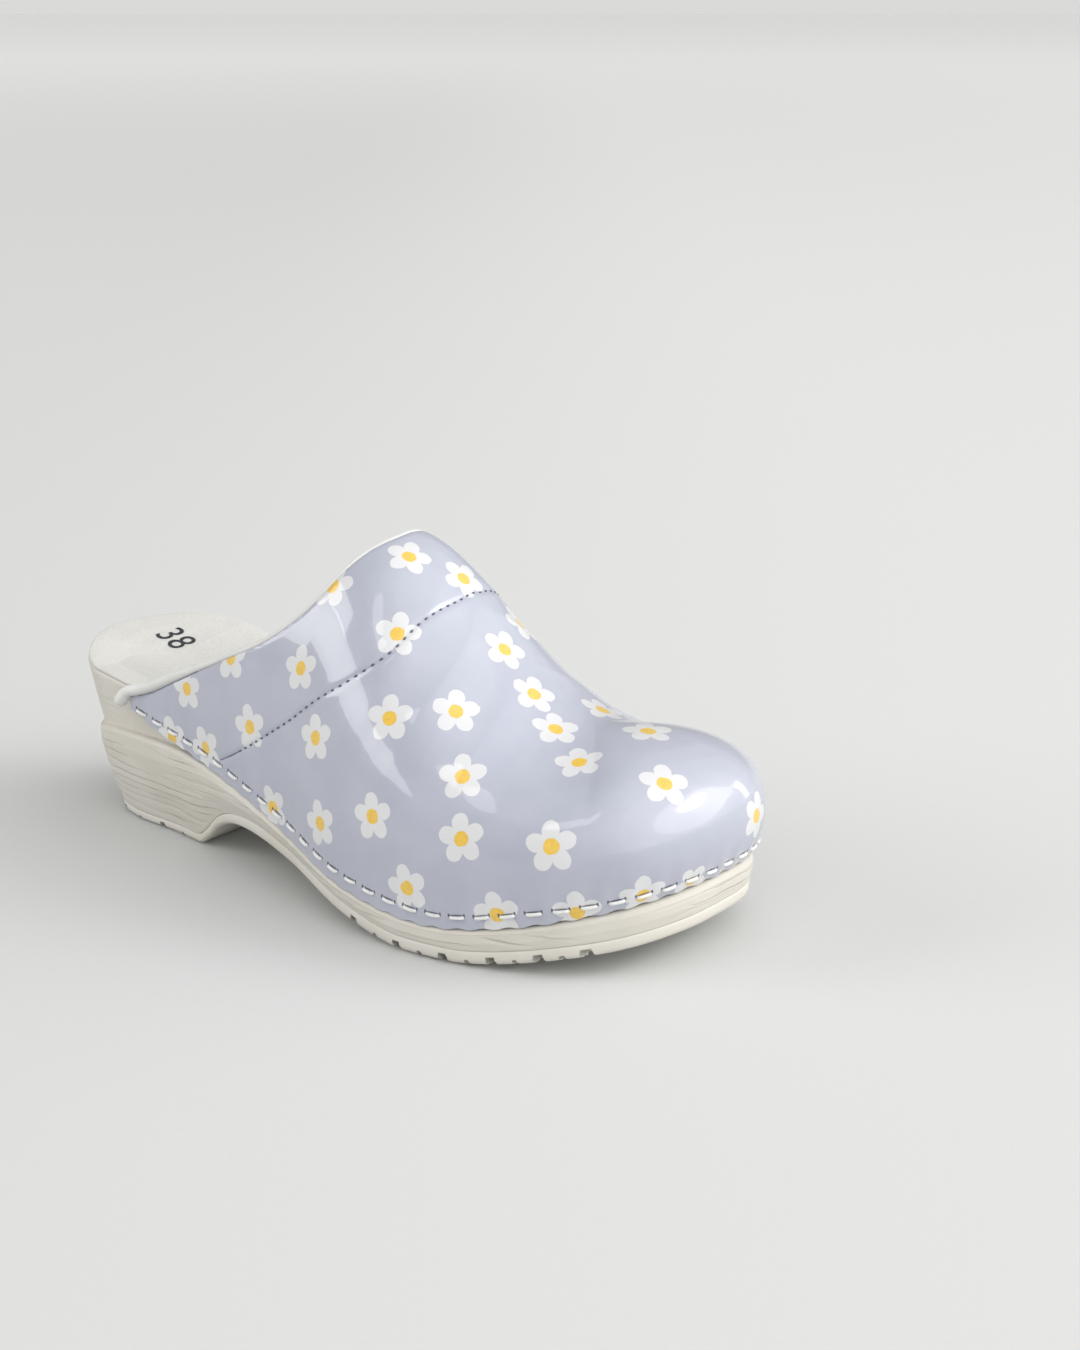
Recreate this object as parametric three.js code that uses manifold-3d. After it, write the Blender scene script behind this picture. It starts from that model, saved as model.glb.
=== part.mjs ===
// A closed-toe, open-back clog: the right shoe of a women's pair, about EU size 38.
// Units are millimetres. +X points to the toe, +Y to the inner (medial) side, +Z up.
// The shoe is drawn with x = 0 just behind the heel and y = 0 on the heel's centre line, then
// moved so that the origin is the middle of its bounding box, on the ground.
import * as THREE from 'three';
import { mergeVertices } from 'three/addons/utils/BufferGeometryUtils.js';
import Module from 'manifold-3d';

// ---------------------------------------------------------------- driving dimensions
const ORIGIN = [135.6, -2.4];        // where the frame's origin lies in drawing coordinates
const GAP = 0.3;                     // clearance between pieces that touch in the real shoe

const SAMPLES = 3;                   // points per station of the sole outline
const RIM_WIDTH = 1.7;               // width of the sole's rim round the footbed
const FOOTBED_DEPTH = 4.0;           // depth of the footbed's recess below the rim
const INSOCK_THICKNESS = 0.8;
const LEATHER = 2.0;
const LINING = 1.0;
const PUFF = 1.0;
const PUFF_GAP = 0.6;                // clearance on both faces of the toe puff
const FOAM = 2.4;
const PIPING_RADIUS = 1.9;
const PIPING_LIFT = PIPING_RADIUS + 0.85;  // from the leather's cut edge up to the roll's centre line
const THREAD_RADIUS = 0.4;

const CHAMFER = 0.5;                 // bevel on the sole's sharp edges
const WALL_BELLY = 0.4;              // outward curve of the sole's wall below its ledge
const UPPER_WALL_INSET = 0.6;        // how far the wall above the ledge lies inside the outline
const RIM_CORNER = 0.9;              // rounding of the rim's outer corner
const TREAD_CURL = 3.6;              // width of the tread's rounded edge
const DISH_WIDTH = 12;               // width of the footbed's sloping border

const SHANK = { x: 96, y: -4, length: 96, width: 14, thickness: 2, pocket: 10 };

const STAPLE_PITCH = 8.2;
const STAPLE_CROWN = 5.5;
const STAPLE_WIRE = 1.2;
const STAPLE_LEG = 7.0;              // how far the legs reach into the sole

// Sole outline at its upper rim: x, then the outer (lateral) and inner (medial) half widths.
const HEEL_CENTRE = 39;
const HEEL_RADIUS = 33;
const HEEL_ANGLES = [30, 62, 90];
const OUTLINE = [
  [60, 33.4, 30.5], [75, 34.6, 29.2], [88, 36.2, 28.3], [105, 38.6, 28.3], [130, 42.8, 31.2],
  [160, 50.2, 37.8], [190, 51.4, 44.6], [215, 46.3, 46.6], [235, 37.8, 43.3], [250, 24.6, 35.4],
  [257.4, 7.6, 23.6],
];
const TOE_TIP = [258.8, 8];

// Smooth curve through [x, value] pairs, level outside them.
function profile(points) {
  const slope = points.map((p, i) => {
    const a = points[Math.max(i - 1, 0)];
    const b = points[Math.min(i + 1, points.length - 1)];
    return (b[1] - a[1]) / (b[0] - a[0]);
  });
  return (x) => {
    if (x <= points[0][0]) return points[0][1];
    if (x >= points.at(-1)[0]) return points.at(-1)[1];
    const i = points.findIndex((p) => p[0] > x) - 1;
    const [x0, v0] = points[i];
    const [x1, v1] = points[i + 1];
    const h = x1 - x0;
    const s = (x - x0) / h;
    const s2 = s * s;
    const s3 = s2 * s;
    return (2 * s3 - 3 * s2 + 1) * v0 + (s3 - 2 * s2 + s) * h * slope[i]
      + (3 * s2 - 2 * s3) * v1 + (s3 - s2) * h * slope[i + 1];
  };
}

// Heights along the shoe.
const treadCurve = profile([
  [72, 0], [75.5, 0.6], [81, 4.5], [87, 9.6], [94, 13], [103, 14.2], [114, 13.6], [127, 11],
  [149, 6.2], [162, 3.4], [174, 1.2], [184, 0], [204, 0], [212, 0.8], [222, 2.5], [234, 5],
  [245, 7.2], [254, 9.2], [260, 10.6],
]);
const treadZ = (x) => Math.max(treadCurve(x), 0);
const outsoleThickness = profile([[40, 3.4], [72, 3.6], [110, 4.6], [180, 5]]);
const ledgeZ = profile([
  [6, 29.5], [18, 31], [38, 34.5], [60, 35.3], [75, 35], [91, 32.8], [111, 28], [134, 21.2],
  [161, 14.4], [187, 11], [203, 11.3], [222, 14.6], [240, 19.2], [252, 22.4], [260, 24.8],
]);
const leatherEdgeZ = profile([
  [50, 42.4], [62, 40], [76, 37], [92, 33.3], [111, 28.4], [134, 21.6], [161, 14.8], [187, 11.4],
  [203, 11.7], [222, 15], [240, 19.6], [252, 22.8], [260, 25.2],
]);
const stapleZ = profile([
  [50, 46], [62, 43], [95, 36.6], [130, 27], [165, 18.2], [200, 15.3], [232, 21.4], [251, 26.1],
  [260, 28.8],
]);
const rimZ = profile([
  [6, 54], [22, 54], [38, 53.2], [50, 51.5], [62, 49], [95, 42.4], [130, 33], [165, 24.2],
  [200, 21.2], [232, 27.2], [250, 32], [260, 34.6],
]);

// The heel cup rises at the back and along the inner side.
const outerLift = profile([[6, 5], [14, 2], [28, 0]]);
const innerLift = profile([[6, 5], [20, 5.2], [45, 4.2], [90, 1], [130, 0]]);

// Width of the step on the sole's side that the leather stands on.
const ledgeStep = profile([[6, 0.5], [30, 0.9], [60, 1.8], [80, 2]]);

// Sideways offsets of the sole's wall from the rim outline.
const ledgeInset = profile([[6, 5.4], [20, 4], [38, 1.8], [60, 0.2], [75, 0]]);
const baseInset = profile([
  [6, 11.6], [20, 10], [38, 7.6], [60, 6.2], [75, 4.8], [90, 2.6], [110, 1.2], [135, 0.4],
  [160, -0.6], [190, -1.5], [230, -1.6], [260, -1.2],
]);

// ---------------------------------------------------------------- closed bodies
const wasm = await Module();
wasm.setup();

function toGeometry(points, faces) {
  const geometry = new THREE.BufferGeometry();
  const positions = points.flatMap((p) => [p.x, p.y, p.z]);
  geometry.setAttribute('position', new THREE.Float32BufferAttribute(positions, 3));
  geometry.setIndex(faces.flat());
  return geometry;
}

function toSolid(geometry) {
  const plain = geometry.clone();
  plain.deleteAttribute('normal');
  plain.deleteAttribute('uv');
  const merged = mergeVertices(plain, 1e-4);
  const index = merged.index.array;
  const kept = [];
  for (let i = 0; i < index.length; i += 3) {
    const [a, b, c] = [index[i], index[i + 1], index[i + 2]];
    if (a !== b && b !== c && c !== a) kept.push(a, b, c);
  }
  return new wasm.Manifold(new wasm.Mesh({
    numProp: 3,
    vertProperties: new Float32Array(merged.attributes.position.array),
    triVerts: new Uint32Array(kept),
  }));
}

function fromSolid(solid) {
  const mesh = solid.getMesh();
  const geometry = new THREE.BufferGeometry();
  geometry.setAttribute('position', new THREE.BufferAttribute(new Float32Array(mesh.vertProperties), 3));
  geometry.setIndex(new THREE.BufferAttribute(new Uint32Array(mesh.triVerts), 1));
  return geometry;
}

// A box from its centre, its three unit axes and its three lengths.
function orientedBox(centre, axes, lengths) {
  const geometry = new THREE.BoxGeometry(...lengths);
  geometry.applyMatrix4(new THREE.Matrix4().makeBasis(...axes).setPosition(centre));
  return toSolid(geometry);
}

function union(solids) {
  return solids.reduce((sum, solid) => sum.add(solid));
}

// ---------------------------------------------------------------- sole outline
function soleOutline() {
  const side = [
    ...HEEL_ANGLES.map((degrees) => {
      const angle = THREE.MathUtils.degToRad(degrees);
      const half = HEEL_RADIUS * Math.sin(angle);
      return [HEEL_CENTRE - HEEL_RADIUS * Math.cos(angle), half, half];
    }),
    ...OUTLINE,
  ];
  const stations = [
    new THREE.Vector3(HEEL_CENTRE - HEEL_RADIUS, 0, 0),
    ...side.map(([x, outer]) => new THREE.Vector3(x, -outer, 0)),
    new THREE.Vector3(...TOE_TIP, 0),
    ...side.toReversed().map(([x, , inner]) => new THREE.Vector3(x, inner, 0)),
  ];
  return { curve: new THREE.CatmullRomCurve3(stations, true, 'centripetal'), count: stations.length };
}

const outline = soleOutline();

// Point and outward direction of the outline at curve parameter u, 0 at the back of the heel,
// running along the outer side to the toe tip at 0.5 and back along the inner side.
function rim(u) {
  const wrapped = ((u % 1) + 1) % 1;
  const step = 1e-4;
  const point = outline.curve.getPoint(wrapped);
  const ahead = outline.curve.getPoint((wrapped + step) % 1);
  const behind = outline.curve.getPoint((wrapped + 1 - step) % 1);
  const along = ahead.sub(behind).normalize();
  return { point, out: new THREE.Vector3(along.y, -along.x, 0) };
}

const RING_COUNT = outline.count * SAMPLES;

// A ring of points offset outward from the outline; offset and height depend on the rim's x.
function ring(offset, height) {
  return Array.from({ length: RING_COUNT }, (_, i) => {
    const { point, out } = rim(i / RING_COUNT);
    const p = point.clone().addScaledVector(out, offset(point.x));
    p.z = height(p.x, i < RING_COUNT / 2 ? outerLift(point.x) : innerLift(point.x));
    return p;
  });
}

// Closed body through stacked rings, capped by strips that run across the shoe.
function loft(rings) {
  const count = rings[0].length;
  const faces = [];
  for (let r = 0; r + 1 < rings.length; r += 1) {
    for (let i = 0; i < count; i += 1) {
      const j = (i + 1) % count;
      const [a, b, c, d] = [r * count + i, r * count + j, (r + 1) * count + j, (r + 1) * count + i];
      faces.push([a, b, c], [a, c, d]);
    }
  }
  const cap = (start, up) => {
    for (let i = 0; i < count / 2; i += 1) {
      const [a, b] = [i, i + 1];
      const [c, d] = [(count - i - 1) % count, (count - i) % count];
      const strip = [[a, b, c], [a, c, d]];
      for (const t of strip) {
        if (new Set(t).size < 3) continue;
        const face = t.map((k) => k + start);
        faces.push(up ? face : face.toReversed());
      }
    }
  };
  cap(0, false);
  cap((rings.length - 1) * count, true);
  return toGeometry(rings.flat(), faces);
}

// ---------------------------------------------------------------- sole unit
const soleFloorZ = (x) => treadZ(x) + outsoleThickness(x) + GAP;
const recessFloorZ = (x, lift = 0) => rimZ(x) + lift - FOOTBED_DEPTH;
const RECESS_INSET = RIM_WIDTH + 0.8;
const rimEdgeZ = (drop) => (x, lift) => rimZ(x) + lift - drop;

function soleBody() {
  const wall = (share) => (x) => {
    const low = -baseInset(x);
    const high = ledgeStep(x) - ledgeInset(x);
    return low + (high - low) * share;
  };
  const between = (share) => (x) => {
    const low = soleFloorZ(x);
    return low + (ledgeZ(x) - low) * share;
  };
  const recessed = (inset) => (x) => -ledgeInset(x) - inset;
  const halfWayUp = (x, lift) => (ledgeZ(x) + rimZ(x) + lift) / 2;
  const rimOffset = (inset) => () => -inset;
  const rings = [
    ring((x) => -baseInset(x) - CHAMFER, soleFloorZ),
    ring((x) => -baseInset(x), (x) => soleFloorZ(x) + CHAMFER),
    ring((x) => wall(0.55)(x) + WALL_BELLY, between(0.42)),
    ring((x) => wall(0.94)(x) + WALL_BELLY, between(0.8)),
    ring(wall(1), (x) => ledgeZ(x) - CHAMFER),
    ring((x) => wall(1)(x) - CHAMFER, ledgeZ),
    ring(recessed(UPPER_WALL_INSET), (x) => ledgeZ(x) - 0.05),
    ring((x) => -ledgeInset(x) * 0.45 - UPPER_WALL_INSET, halfWayUp),
    ring(rimOffset(UPPER_WALL_INSET), rimEdgeZ(RIM_CORNER)),
    ring(rimOffset(UPPER_WALL_INSET + 0.5), rimEdgeZ(0)),
    ring(rimOffset(RECESS_INSET - 0.2), rimEdgeZ(0)),
    ring(rimOffset(RECESS_INSET), recessFloorZ),
  ];
  let solid = toSolid(loft(rings));
  solid = solid.subtract(stapleSlot());
  solid = solid.subtract(orientedBox(
    new THREE.Vector3(SHANK.x, SHANK.y, recessFloorZ(SHANK.x) - 1),
    shankAxes(),
    [SHANK.length + 2 * GAP, SHANK.width + 2 * GAP, SHANK.pocket],
  ));
  return fromSolid(solid);
}

const TREAD_GROOVES = [
  ...[20, 31, 42, 54, 65].map((x, i) => ({ x, width: i % 2 ? 3 : 1.8, depth: i % 2 ? 2 : 1.3 })),
  ...Array.from({ length: 11 }, (_, i) => ({
    x: 166 + 9.6 * i - 0.2 * i * i, width: i % 2 ? 1.9 : 3.3, depth: i % 2 ? 1.8 : 3,
  })),
];

function outsole() {
  const edgeZ = (share) => (x) => treadZ(x) + share * outsoleThickness(x);
  const rings = [
    ring((x) => -baseInset(x) - TREAD_CURL, treadZ),
    ring((x) => -baseInset(x) - TREAD_CURL / 3, edgeZ(0.2)),
    ring((x) => -baseInset(x) + 0.1, edgeZ(0.55)),
    ring((x) => -baseInset(x) + 0.1, edgeZ(0.85)),
    ring((x) => -baseInset(x) - CHAMFER, edgeZ(1)),
  ];
  let solid = toSolid(loft(rings));
  for (const { x, width, depth } of TREAD_GROOVES) {
    const slope = (treadZ(x + 1) - treadZ(x - 1)) / 2;
    const along = new THREE.Vector3(1, 0, slope).normalize();
    const up = new THREE.Vector3(-slope, 0, 1).normalize();
    const wedge = new THREE.CylinderGeometry(1, 1, 130, 3);
    wedge.scale(width / Math.sqrt(3), 1, depth / 1.5);
    const base = new THREE.Matrix4().makeBasis(along, new THREE.Vector3(0, 1, 0), up)
      .setPosition(x, 0, treadZ(x));
    wedge.applyMatrix4(base);
    solid = solid.subtract(toSolid(wedge));
  }
  return fromSolid(solid);
}

function shankAxes() {
  const slope = (recessFloorZ(SHANK.x + 40) - recessFloorZ(SHANK.x - 40)) / 80;
  return [
    new THREE.Vector3(1, 0, slope).normalize(),
    new THREE.Vector3(0, 1, 0),
    new THREE.Vector3(-slope, 0, 1).normalize(),
  ];
}

function shank() {
  const axes = shankAxes();
  const centre = new THREE.Vector3(SHANK.x, SHANK.y, recessFloorZ(SHANK.x) - 1);
  centre.addScaledVector(axes[2], GAP - SHANK.pocket / 2 + SHANK.thickness / 2);
  return fromSolid(orientedBox(centre, axes, [SHANK.length, SHANK.width, SHANK.thickness]));
}

const footbedInset = RECESS_INSET + GAP;
const dish = profile([[20, 0.8], [60, 0.7], [110, 0.3], [180, 0.6], [240, 0.4]]);
const footbedTop = INSOCK_THICKNESS + GAP + 0.4;   // depth of the footbed's top below the rim

function footbed() {
  return loft([
    ring(() => -footbedInset, (x, lift) => recessFloorZ(x, lift) + GAP),
    ring(() => -footbedInset, rimEdgeZ(footbedTop)),
    ring(() => -footbedInset - DISH_WIDTH, (x, lift) => rimEdgeZ(footbedTop + dish(x))(x, lift)),
  ]);
}

function insock() {
  const bottom = footbedTop - GAP;
  const top = bottom - INSOCK_THICKNESS;
  return loft([
    ring(() => -footbedInset - DISH_WIDTH, (x, lift) => rimEdgeZ(bottom + dish(x))(x, lift)),
    ring(() => -footbedInset, rimEdgeZ(bottom)),
    ring(() => -footbedInset, rimEdgeZ(top)),
    ring(() => -footbedInset - DISH_WIDTH, (x, lift) => rimEdgeZ(top + dish(x))(x, lift)),
  ]);
}

// ---------------------------------------------------------------- upper: the outer leather surface
const UPPER_REAR_X = 51;
const spineX = profile([
  [0, 51], [0.2, 99], [0.394, 146], [0.58, 184], [0.73, 206], [0.87, 220], [1, 226], [1.13, 220],
]);
const spineY = profile([[50, 0], [150, 0.6], [195, 2.9], [226, 8.2]]);
const spineZ = profile([
  [50, 119], [100, 119], [135, 115], [148, 112.7], [160, 105.8], [172, 95.1], [188, 79.8],
  [202, 68.9], [214, 63.8], [226, 63.6],
]);
// Height of the topline on the arches, from the rear end to the middle of the instep.
const toplineShare = profile([
  [0, 0.06], [0.06, 0.166], [0.12, 0.251], [0.18, 0.329], [0.24, 0.407], [0.27, 0.453], [0.3, 0.513],
  [0.33, 0.595], [0.36, 0.735], [0.38, 0.885], [0.394, 1],
]);
const lowBulge = profile([[50, 0], [150, 0.2], [200, 0.5], [240, 2.8], [260, 5.3]]);
const highBulge = profile([[50, 0.5], [100, 0.4], [150, -1.6], [200, 3], [231, 8], [250, 15], [260, 14.1]]);
const innerTuck = profile([[50, 0], [120, 0.8], [170, 1.6], [215, 1.7], [240, 0]]);
const crownReach = profile([[50, 0.55], [150, 0.5], [200, 0.6], [260, 0.76]]);
const LOW_SHARE = 0.22;
const HIGH_SHARE = 0.767;
const PEAK = 0.394;                  // share of the way to the toe tip where the instep opening ends

// Where the collar seam crosses the arches, by height on the arch.
const SEAM_START_T = 0.07;
const seamShare = profile([
  [0.07, 0.195], [0.25, 0.298], [0.42, 0.398], [0.52, 0.426], [0.62, 0.443], [0.77, 0.456],
  [0.9, 0.474], [1, 0.505],
]);

// How far the rolled edge's centre line lies inside the leather's outer face.
const pipingDepth = profile([[50, -0.8], [60, 0], [76, 2.2], [100, 2.4]]);

// Curve parameters of the upper's two rear ends and arc length tables from them to the toe tip.
function sideTable(sign) {
  const uAt = (k) => (sign < 0 ? k : 1 - k);
  let low = 0.02;
  let high = 0.3;
  for (let i = 0; i < 50; i += 1) {
    const mid = (low + high) / 2;
    if (rim(uAt(mid)).point.x < UPPER_REAR_X) low = mid;
    else high = mid;
  }
  const steps = 400;
  const table = [[0, low]];
  let total = 0;
  let last = rim(uAt(low)).point;
  for (let i = 1; i <= steps; i += 1) {
    const k = low + (0.5 - low) * (i / steps);
    const next = rim(uAt(k)).point;
    total += next.distanceTo(last);
    table.push([total, k]);
    last = next;
  }
  return (share) => uAt(lookUp(table, Math.min(share, 1) * total));
}

function lookUp(table, wanted) {
  let i = 1;
  while (i < table.length - 1 && table[i][0] < wanted) i += 1;
  const [a, u] = table[i - 1];
  const [b, v] = table[i];
  return u + ((wanted - a) / (b - a)) * (v - u);
}

const sides = { outer: { sign: -1, u: sideTable(-1) }, inner: { sign: 1, u: sideTable(1) } };

function spine(share) {
  const x = spineX(share);
  return new THREE.Vector3(x, spineY(x), spineZ(x));
}

function spineNormal(share) {
  const x = spineX(share);
  const slope = (spineZ(x + 0.5) - spineZ(x - 0.5));
  return new THREE.Vector3(-slope, 0, 1).normalize();
}

// The leather's outer face: share runs from the rear end to the toe tip, t from the lower edge up
// and over to the spine.
function leather(side, share, t) {
  const { point, out } = rim(side.u(share));
  const foot = point.clone().addScaledVector(out, LEATHER);
  foot.z = leatherEdgeZ(foot.x);
  const crown = spine(share);
  const height = crown.z - foot.z;
  const low = foot.clone().addScaledVector(out, lowBulge(point.x));
  low.z += LOW_SHARE * height;
  const tuck = side.sign > 0 ? innerTuck(point.x) : 0;
  const high = foot.clone().addScaledVector(out, highBulge(point.x) - tuck);
  high.z += HIGH_SHARE * height;
  high.x += (crown.x - foot.x) * 0.12;
  const normal = spineNormal(share);
  const reach = foot.clone().sub(crown);
  reach.addScaledVector(normal, -reach.dot(normal)).multiplyScalar(crownReach(point.x));
  const shoulder = crown.clone().add(reach);
  const s = 1 - t;
  return foot.multiplyScalar(s ** 4)
    .addScaledVector(low, 4 * s ** 3 * t)
    .addScaledVector(high, 6 * s ** 2 * t ** 2)
    .addScaledVector(shoulder, 4 * s * t ** 3)
    .addScaledVector(crown, t ** 4);
}

function leatherNormal(side, share, t) {
  if (t > 0.999) return spineNormal(share);
  const step = 1e-3;
  const up = leather(side, share, t + step).sub(leather(side, share, Math.max(t - step, 0)));
  let along;
  if (share > 0.999) {
    along = leather(sides.inner, 1 - step * 5, t).sub(leather(sides.outer, 1 - step * 5, t));
  } else {
    along = leather(side, share + step, t).sub(leather(side, share - step, t)).multiplyScalar(-side.sign);
  }
  return along.cross(up).normalize();
}

// The t at which the leather at this share reaches a height.
function levelAt(side, share, z) {
  let low = 0;
  let high = 1;
  for (let i = 0; i < 40; i += 1) {
    const mid = (low + high) / 2;
    if (leather(side, share, mid).z < z) low = mid;
    else high = mid;
  }
  return (low + high) / 2;
}

const toplineT = (side, share) => (share >= PEAK ? 1 : toplineShare(share));

const REAR_COLUMNS = 11;
const FRONT_COLUMNS = 13;

// Column positions, closer together towards the steep end of the topline.
function columns(from, to) {
  const list = [];
  for (let i = 0; i <= REAR_COLUMNS; i += 1) list.push(PEAK * (1 - (1 - i / REAR_COLUMNS) ** 1.6));
  for (let i = 1; i <= FRONT_COLUMNS; i += 1) list.push(PEAK + (1 - PEAK) * (i / FRONT_COLUMNS));
  const inside = list.filter((share) => share > from + 0.01 && share < to - 0.01);
  return [from, ...inside, to];
}

// A shell between two depths below the leather's outer face. It runs from share `from` to the toe
// tip, or to share `to`, and from the height lowT to the topline or highT.
function shell({
  from = 0, to = 1, lowT = () => 0, highT = toplineT, top, bottom, rows = 8,
  only = [sides.outer, sides.inner],
}) {
  const points = [];
  const faces = [];
  const add = (p) => points.push(p) - 1;
  const quad = (a, b, c, d, flip) => {
    faces.push(...(flip ? [[a, c, b], [a, d, c]] : [[a, b, c], [a, c, d]]));
  };
  for (const side of only) {
    const flip = side.sign > 0;
    const grid = columns(from, to).map((share) => {
      const start = lowT(side, share);
      const end = highT(side, share);
      return Array.from({ length: rows + 1 }, (_, j) => {
        const t = start + (end - start) * (j / rows);
        const p = leather(side, share, t);
        const n = leatherNormal(side, share, t);
        return [add(p.clone().addScaledVector(n, -top)), add(p.clone().addScaledVector(n, -bottom))];
      });
    });
    const last = grid.length - 1;
    for (let i = 0; i < last; i += 1) {
      for (let j = 0; j < rows; j += 1) {
        quad(grid[i][j][0], grid[i + 1][j][0], grid[i + 1][j + 1][0], grid[i][j + 1][0], flip);
        quad(grid[i][j][1], grid[i][j + 1][1], grid[i + 1][j + 1][1], grid[i + 1][j][1], flip);
      }
      quad(grid[i][0][1], grid[i + 1][0][1], grid[i + 1][0][0], grid[i][0][0], flip);
      const shares = columns(from, to);
      const onSpine = shares[i] >= PEAK - 1e-9 && highT === toplineT;
      if (!onSpine) {
        quad(grid[i][rows][0], grid[i + 1][rows][0], grid[i + 1][rows][1], grid[i][rows][1], flip);
      }
    }
    for (let j = 0; j < rows; j += 1) {
      quad(grid[0][j][1], grid[0][j][0], grid[0][j + 1][0], grid[0][j + 1][1], flip);
      if (to < 1) {
        quad(grid[last][j][0], grid[last][j][1], grid[last][j + 1][1], grid[last][j + 1][0], flip);
      }
    }
  }
  return toSolid(toGeometry(points, faces));
}

// ---------------------------------------------------------------- staples
function stapleFrames() {
  const path = [];
  const steps = 300;
  for (const side of [sides.outer, sides.inner]) {
    const list = Array.from({ length: steps + 1 }, (_, i) => {
      const share = i / steps;
      const t = levelAt(side, share, stapleZ(rim(side.u(share)).point.x));
      return { side, share, point: leather(side, share, t), out: rim(side.u(share)).out };
    });
    path.push(...(side.sign < 0 ? list : list.toReversed().slice(1)));
  }
  let total = 0;
  const marks = path.map((p, i) => {
    if (i > 0) total += p.point.distanceTo(path[i - 1].point);
    return total;
  });
  const count = Math.floor((total - STAPLE_CROWN) / STAPLE_PITCH) + 1;
  const first = (total - (count - 1) * STAPLE_PITCH) / 2;
  return Array.from({ length: count }, (_, k) => {
    const wanted = first + k * STAPLE_PITCH;
    const i = Math.max(1, marks.findIndex((m) => m >= wanted));
    const share = (wanted - marks[i - 1]) / (marks[i] - marks[i - 1]);
    const centre = path[i - 1].point.clone().lerp(path[i].point, share);
    const out = path[i - 1].out.clone().lerp(path[i].out, share).normalize();
    const along = path[Math.min(i + 3, path.length - 1)].point.clone()
      .sub(path[Math.max(i - 4, 0)].point);
    along.addScaledVector(out, -along.dot(out)).normalize();
    return { centre, out, along, up: out.clone().cross(along).normalize() };
  });
}

const staples = stapleFrames();

// One slot through the leather for the two legs of each staple.
function leatherSlots() {
  return union(staples.map((frame) => orientedBox(
    frame.centre,
    [frame.along, frame.out, frame.along.clone().cross(frame.out)],
    [STAPLE_CROWN + 2 * GAP, 3 * LEATHER + 3, STAPLE_WIRE + 2 * GAP],
  )));
}

// A rectangular band through the staples, at a depth below the leather's face.
function band(frames, nearDepth, farDepth, halfHeight) {
  const corners = [[farDepth, -1], [nearDepth, -1], [nearDepth, 1], [farDepth, 1]];
  const points = frames.flatMap(({ centre, out }) => corners.map(([depth, side]) => {
    const p = centre.clone().addScaledVector(out, -depth);
    p.z += side * halfHeight;
    return p;
  }));
  const cells = frames.slice(1).map((_, i) => {
    const start = 4 * i;
    return [start, start + 1, start + 2, start + 3, start + 4, start + 5, start + 6, start + 7];
  });
  return toSolid(toGeometry(points, outerFaces(cells)));
}

// Faces on the outside of a set of eight-cornered cells; corners 0-3 and 4-7 are opposite ends,
// the first seen clockwise from outside the cell.
function outerFaces(cells) {
  const found = new Map();
  for (const c of cells) {
    const quads = [
      [c[0], c[1], c[2], c[3]], [c[4], c[7], c[6], c[5]], [c[0], c[4], c[5], c[1]],
      [c[1], c[5], c[6], c[2]], [c[2], c[6], c[7], c[3]], [c[3], c[7], c[4], c[0]],
    ];
    for (const quad of quads) {
      const key = [...quad].sort((a, b) => a - b).join();
      if (found.has(key)) found.delete(key);
      else found.set(key, quad);
    }
  }
  return [...found.values()].flatMap(([a, b, d, e]) => [[a, b, d], [a, d, e]]);
}

// The slot inside the sole that takes the legs and the wire joining them.
function stapleSlot() {
  const frames = staples.map((frame) => ({ ...frame, centre: frame.centre.clone() }));
  const reach = STAPLE_CROWN / 2 + 2 * GAP;
  frames[0].centre.addScaledVector(frames[0].along, -reach);
  frames.at(-1).centre.addScaledVector(frames.at(-1).along, reach);
  return band(frames, -1, LEATHER + STAPLE_LEG + 1, STAPLE_WIRE / 2 + 0.5);
}

// A group of U-shaped staples. A hidden wire inside the sole joins the tips of their legs, so the
// group is one body: each staple is a row of cells across its crown, two legs and a length of wire.
function stapleGroup(frames) {
  const half = STAPLE_CROWN / 2;
  const reaches = [-half, STAPLE_WIRE - half, half - STAPLE_WIRE, half];
  const face = -GAP - 0.1;
  const tip = LEATHER + STAPLE_LEG;
  const depths = [face - STAPLE_WIRE, face, tip - STAPLE_WIRE, tip];
  const points = [];
  for (const { centre, along, out, up } of frames) {
    for (const reach of reaches) {
      for (const depth of depths) {
        for (const level of [-STAPLE_WIRE / 2, STAPLE_WIRE / 2]) {
          points.push(centre.clone().addScaledVector(along, reach).addScaledVector(out, -depth)
            .addScaledVector(up, level));
        }
      }
    }
  }
  const corner = (k, r, d, level) => k * 32 + r * 8 + d * 2 + level;
  const cell = ([k, r], [m, q], d) => [
    corner(k, r, d, 0), corner(k, r, d, 1), corner(k, r, d + 1, 1), corner(k, r, d + 1, 0),
    corner(m, q, d, 0), corner(m, q, d, 1), corner(m, q, d + 1, 1), corner(m, q, d + 1, 0),
  ];
  const cells = frames.flatMap((_, k) => [
    cell([k, 0], [k, 1], 0), cell([k, 1], [k, 2], 0), cell([k, 2], [k, 3], 0),
    cell([k, 0], [k, 1], 1), cell([k, 2], [k, 3], 1),
    cell([k, 0], [k, 1], 2), cell([k, 1], [k, 2], 2), cell([k, 2], [k, 3], 2),
    ...(k + 1 < frames.length ? [cell([k, 3], [k + 1, 0], 2)] : []),
  ]);
  return fromSolid(toSolid(toGeometry(points, outerFaces(cells))));
}

// ---------------------------------------------------------------- topline piping and stitching
// Points along the topline from the outer rear end over the instep to the inner one, with the
// leather's normal at each.
function toplinePoints(count) {
  const half = (side) => Array.from({ length: count }, (_, i) => {
    const share = PEAK * (1 - (1 - (i + 0.35) / count) ** 1.6);
    const t = toplineT(side, share);
    return { point: leather(side, share, t), normal: leatherNormal(side, share, t) };
  });
  const peak = { point: spine(PEAK), normal: spineNormal(PEAK) };
  return [...half(sides.outer), peak, ...half(sides.inner).toReversed()];
}

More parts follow.
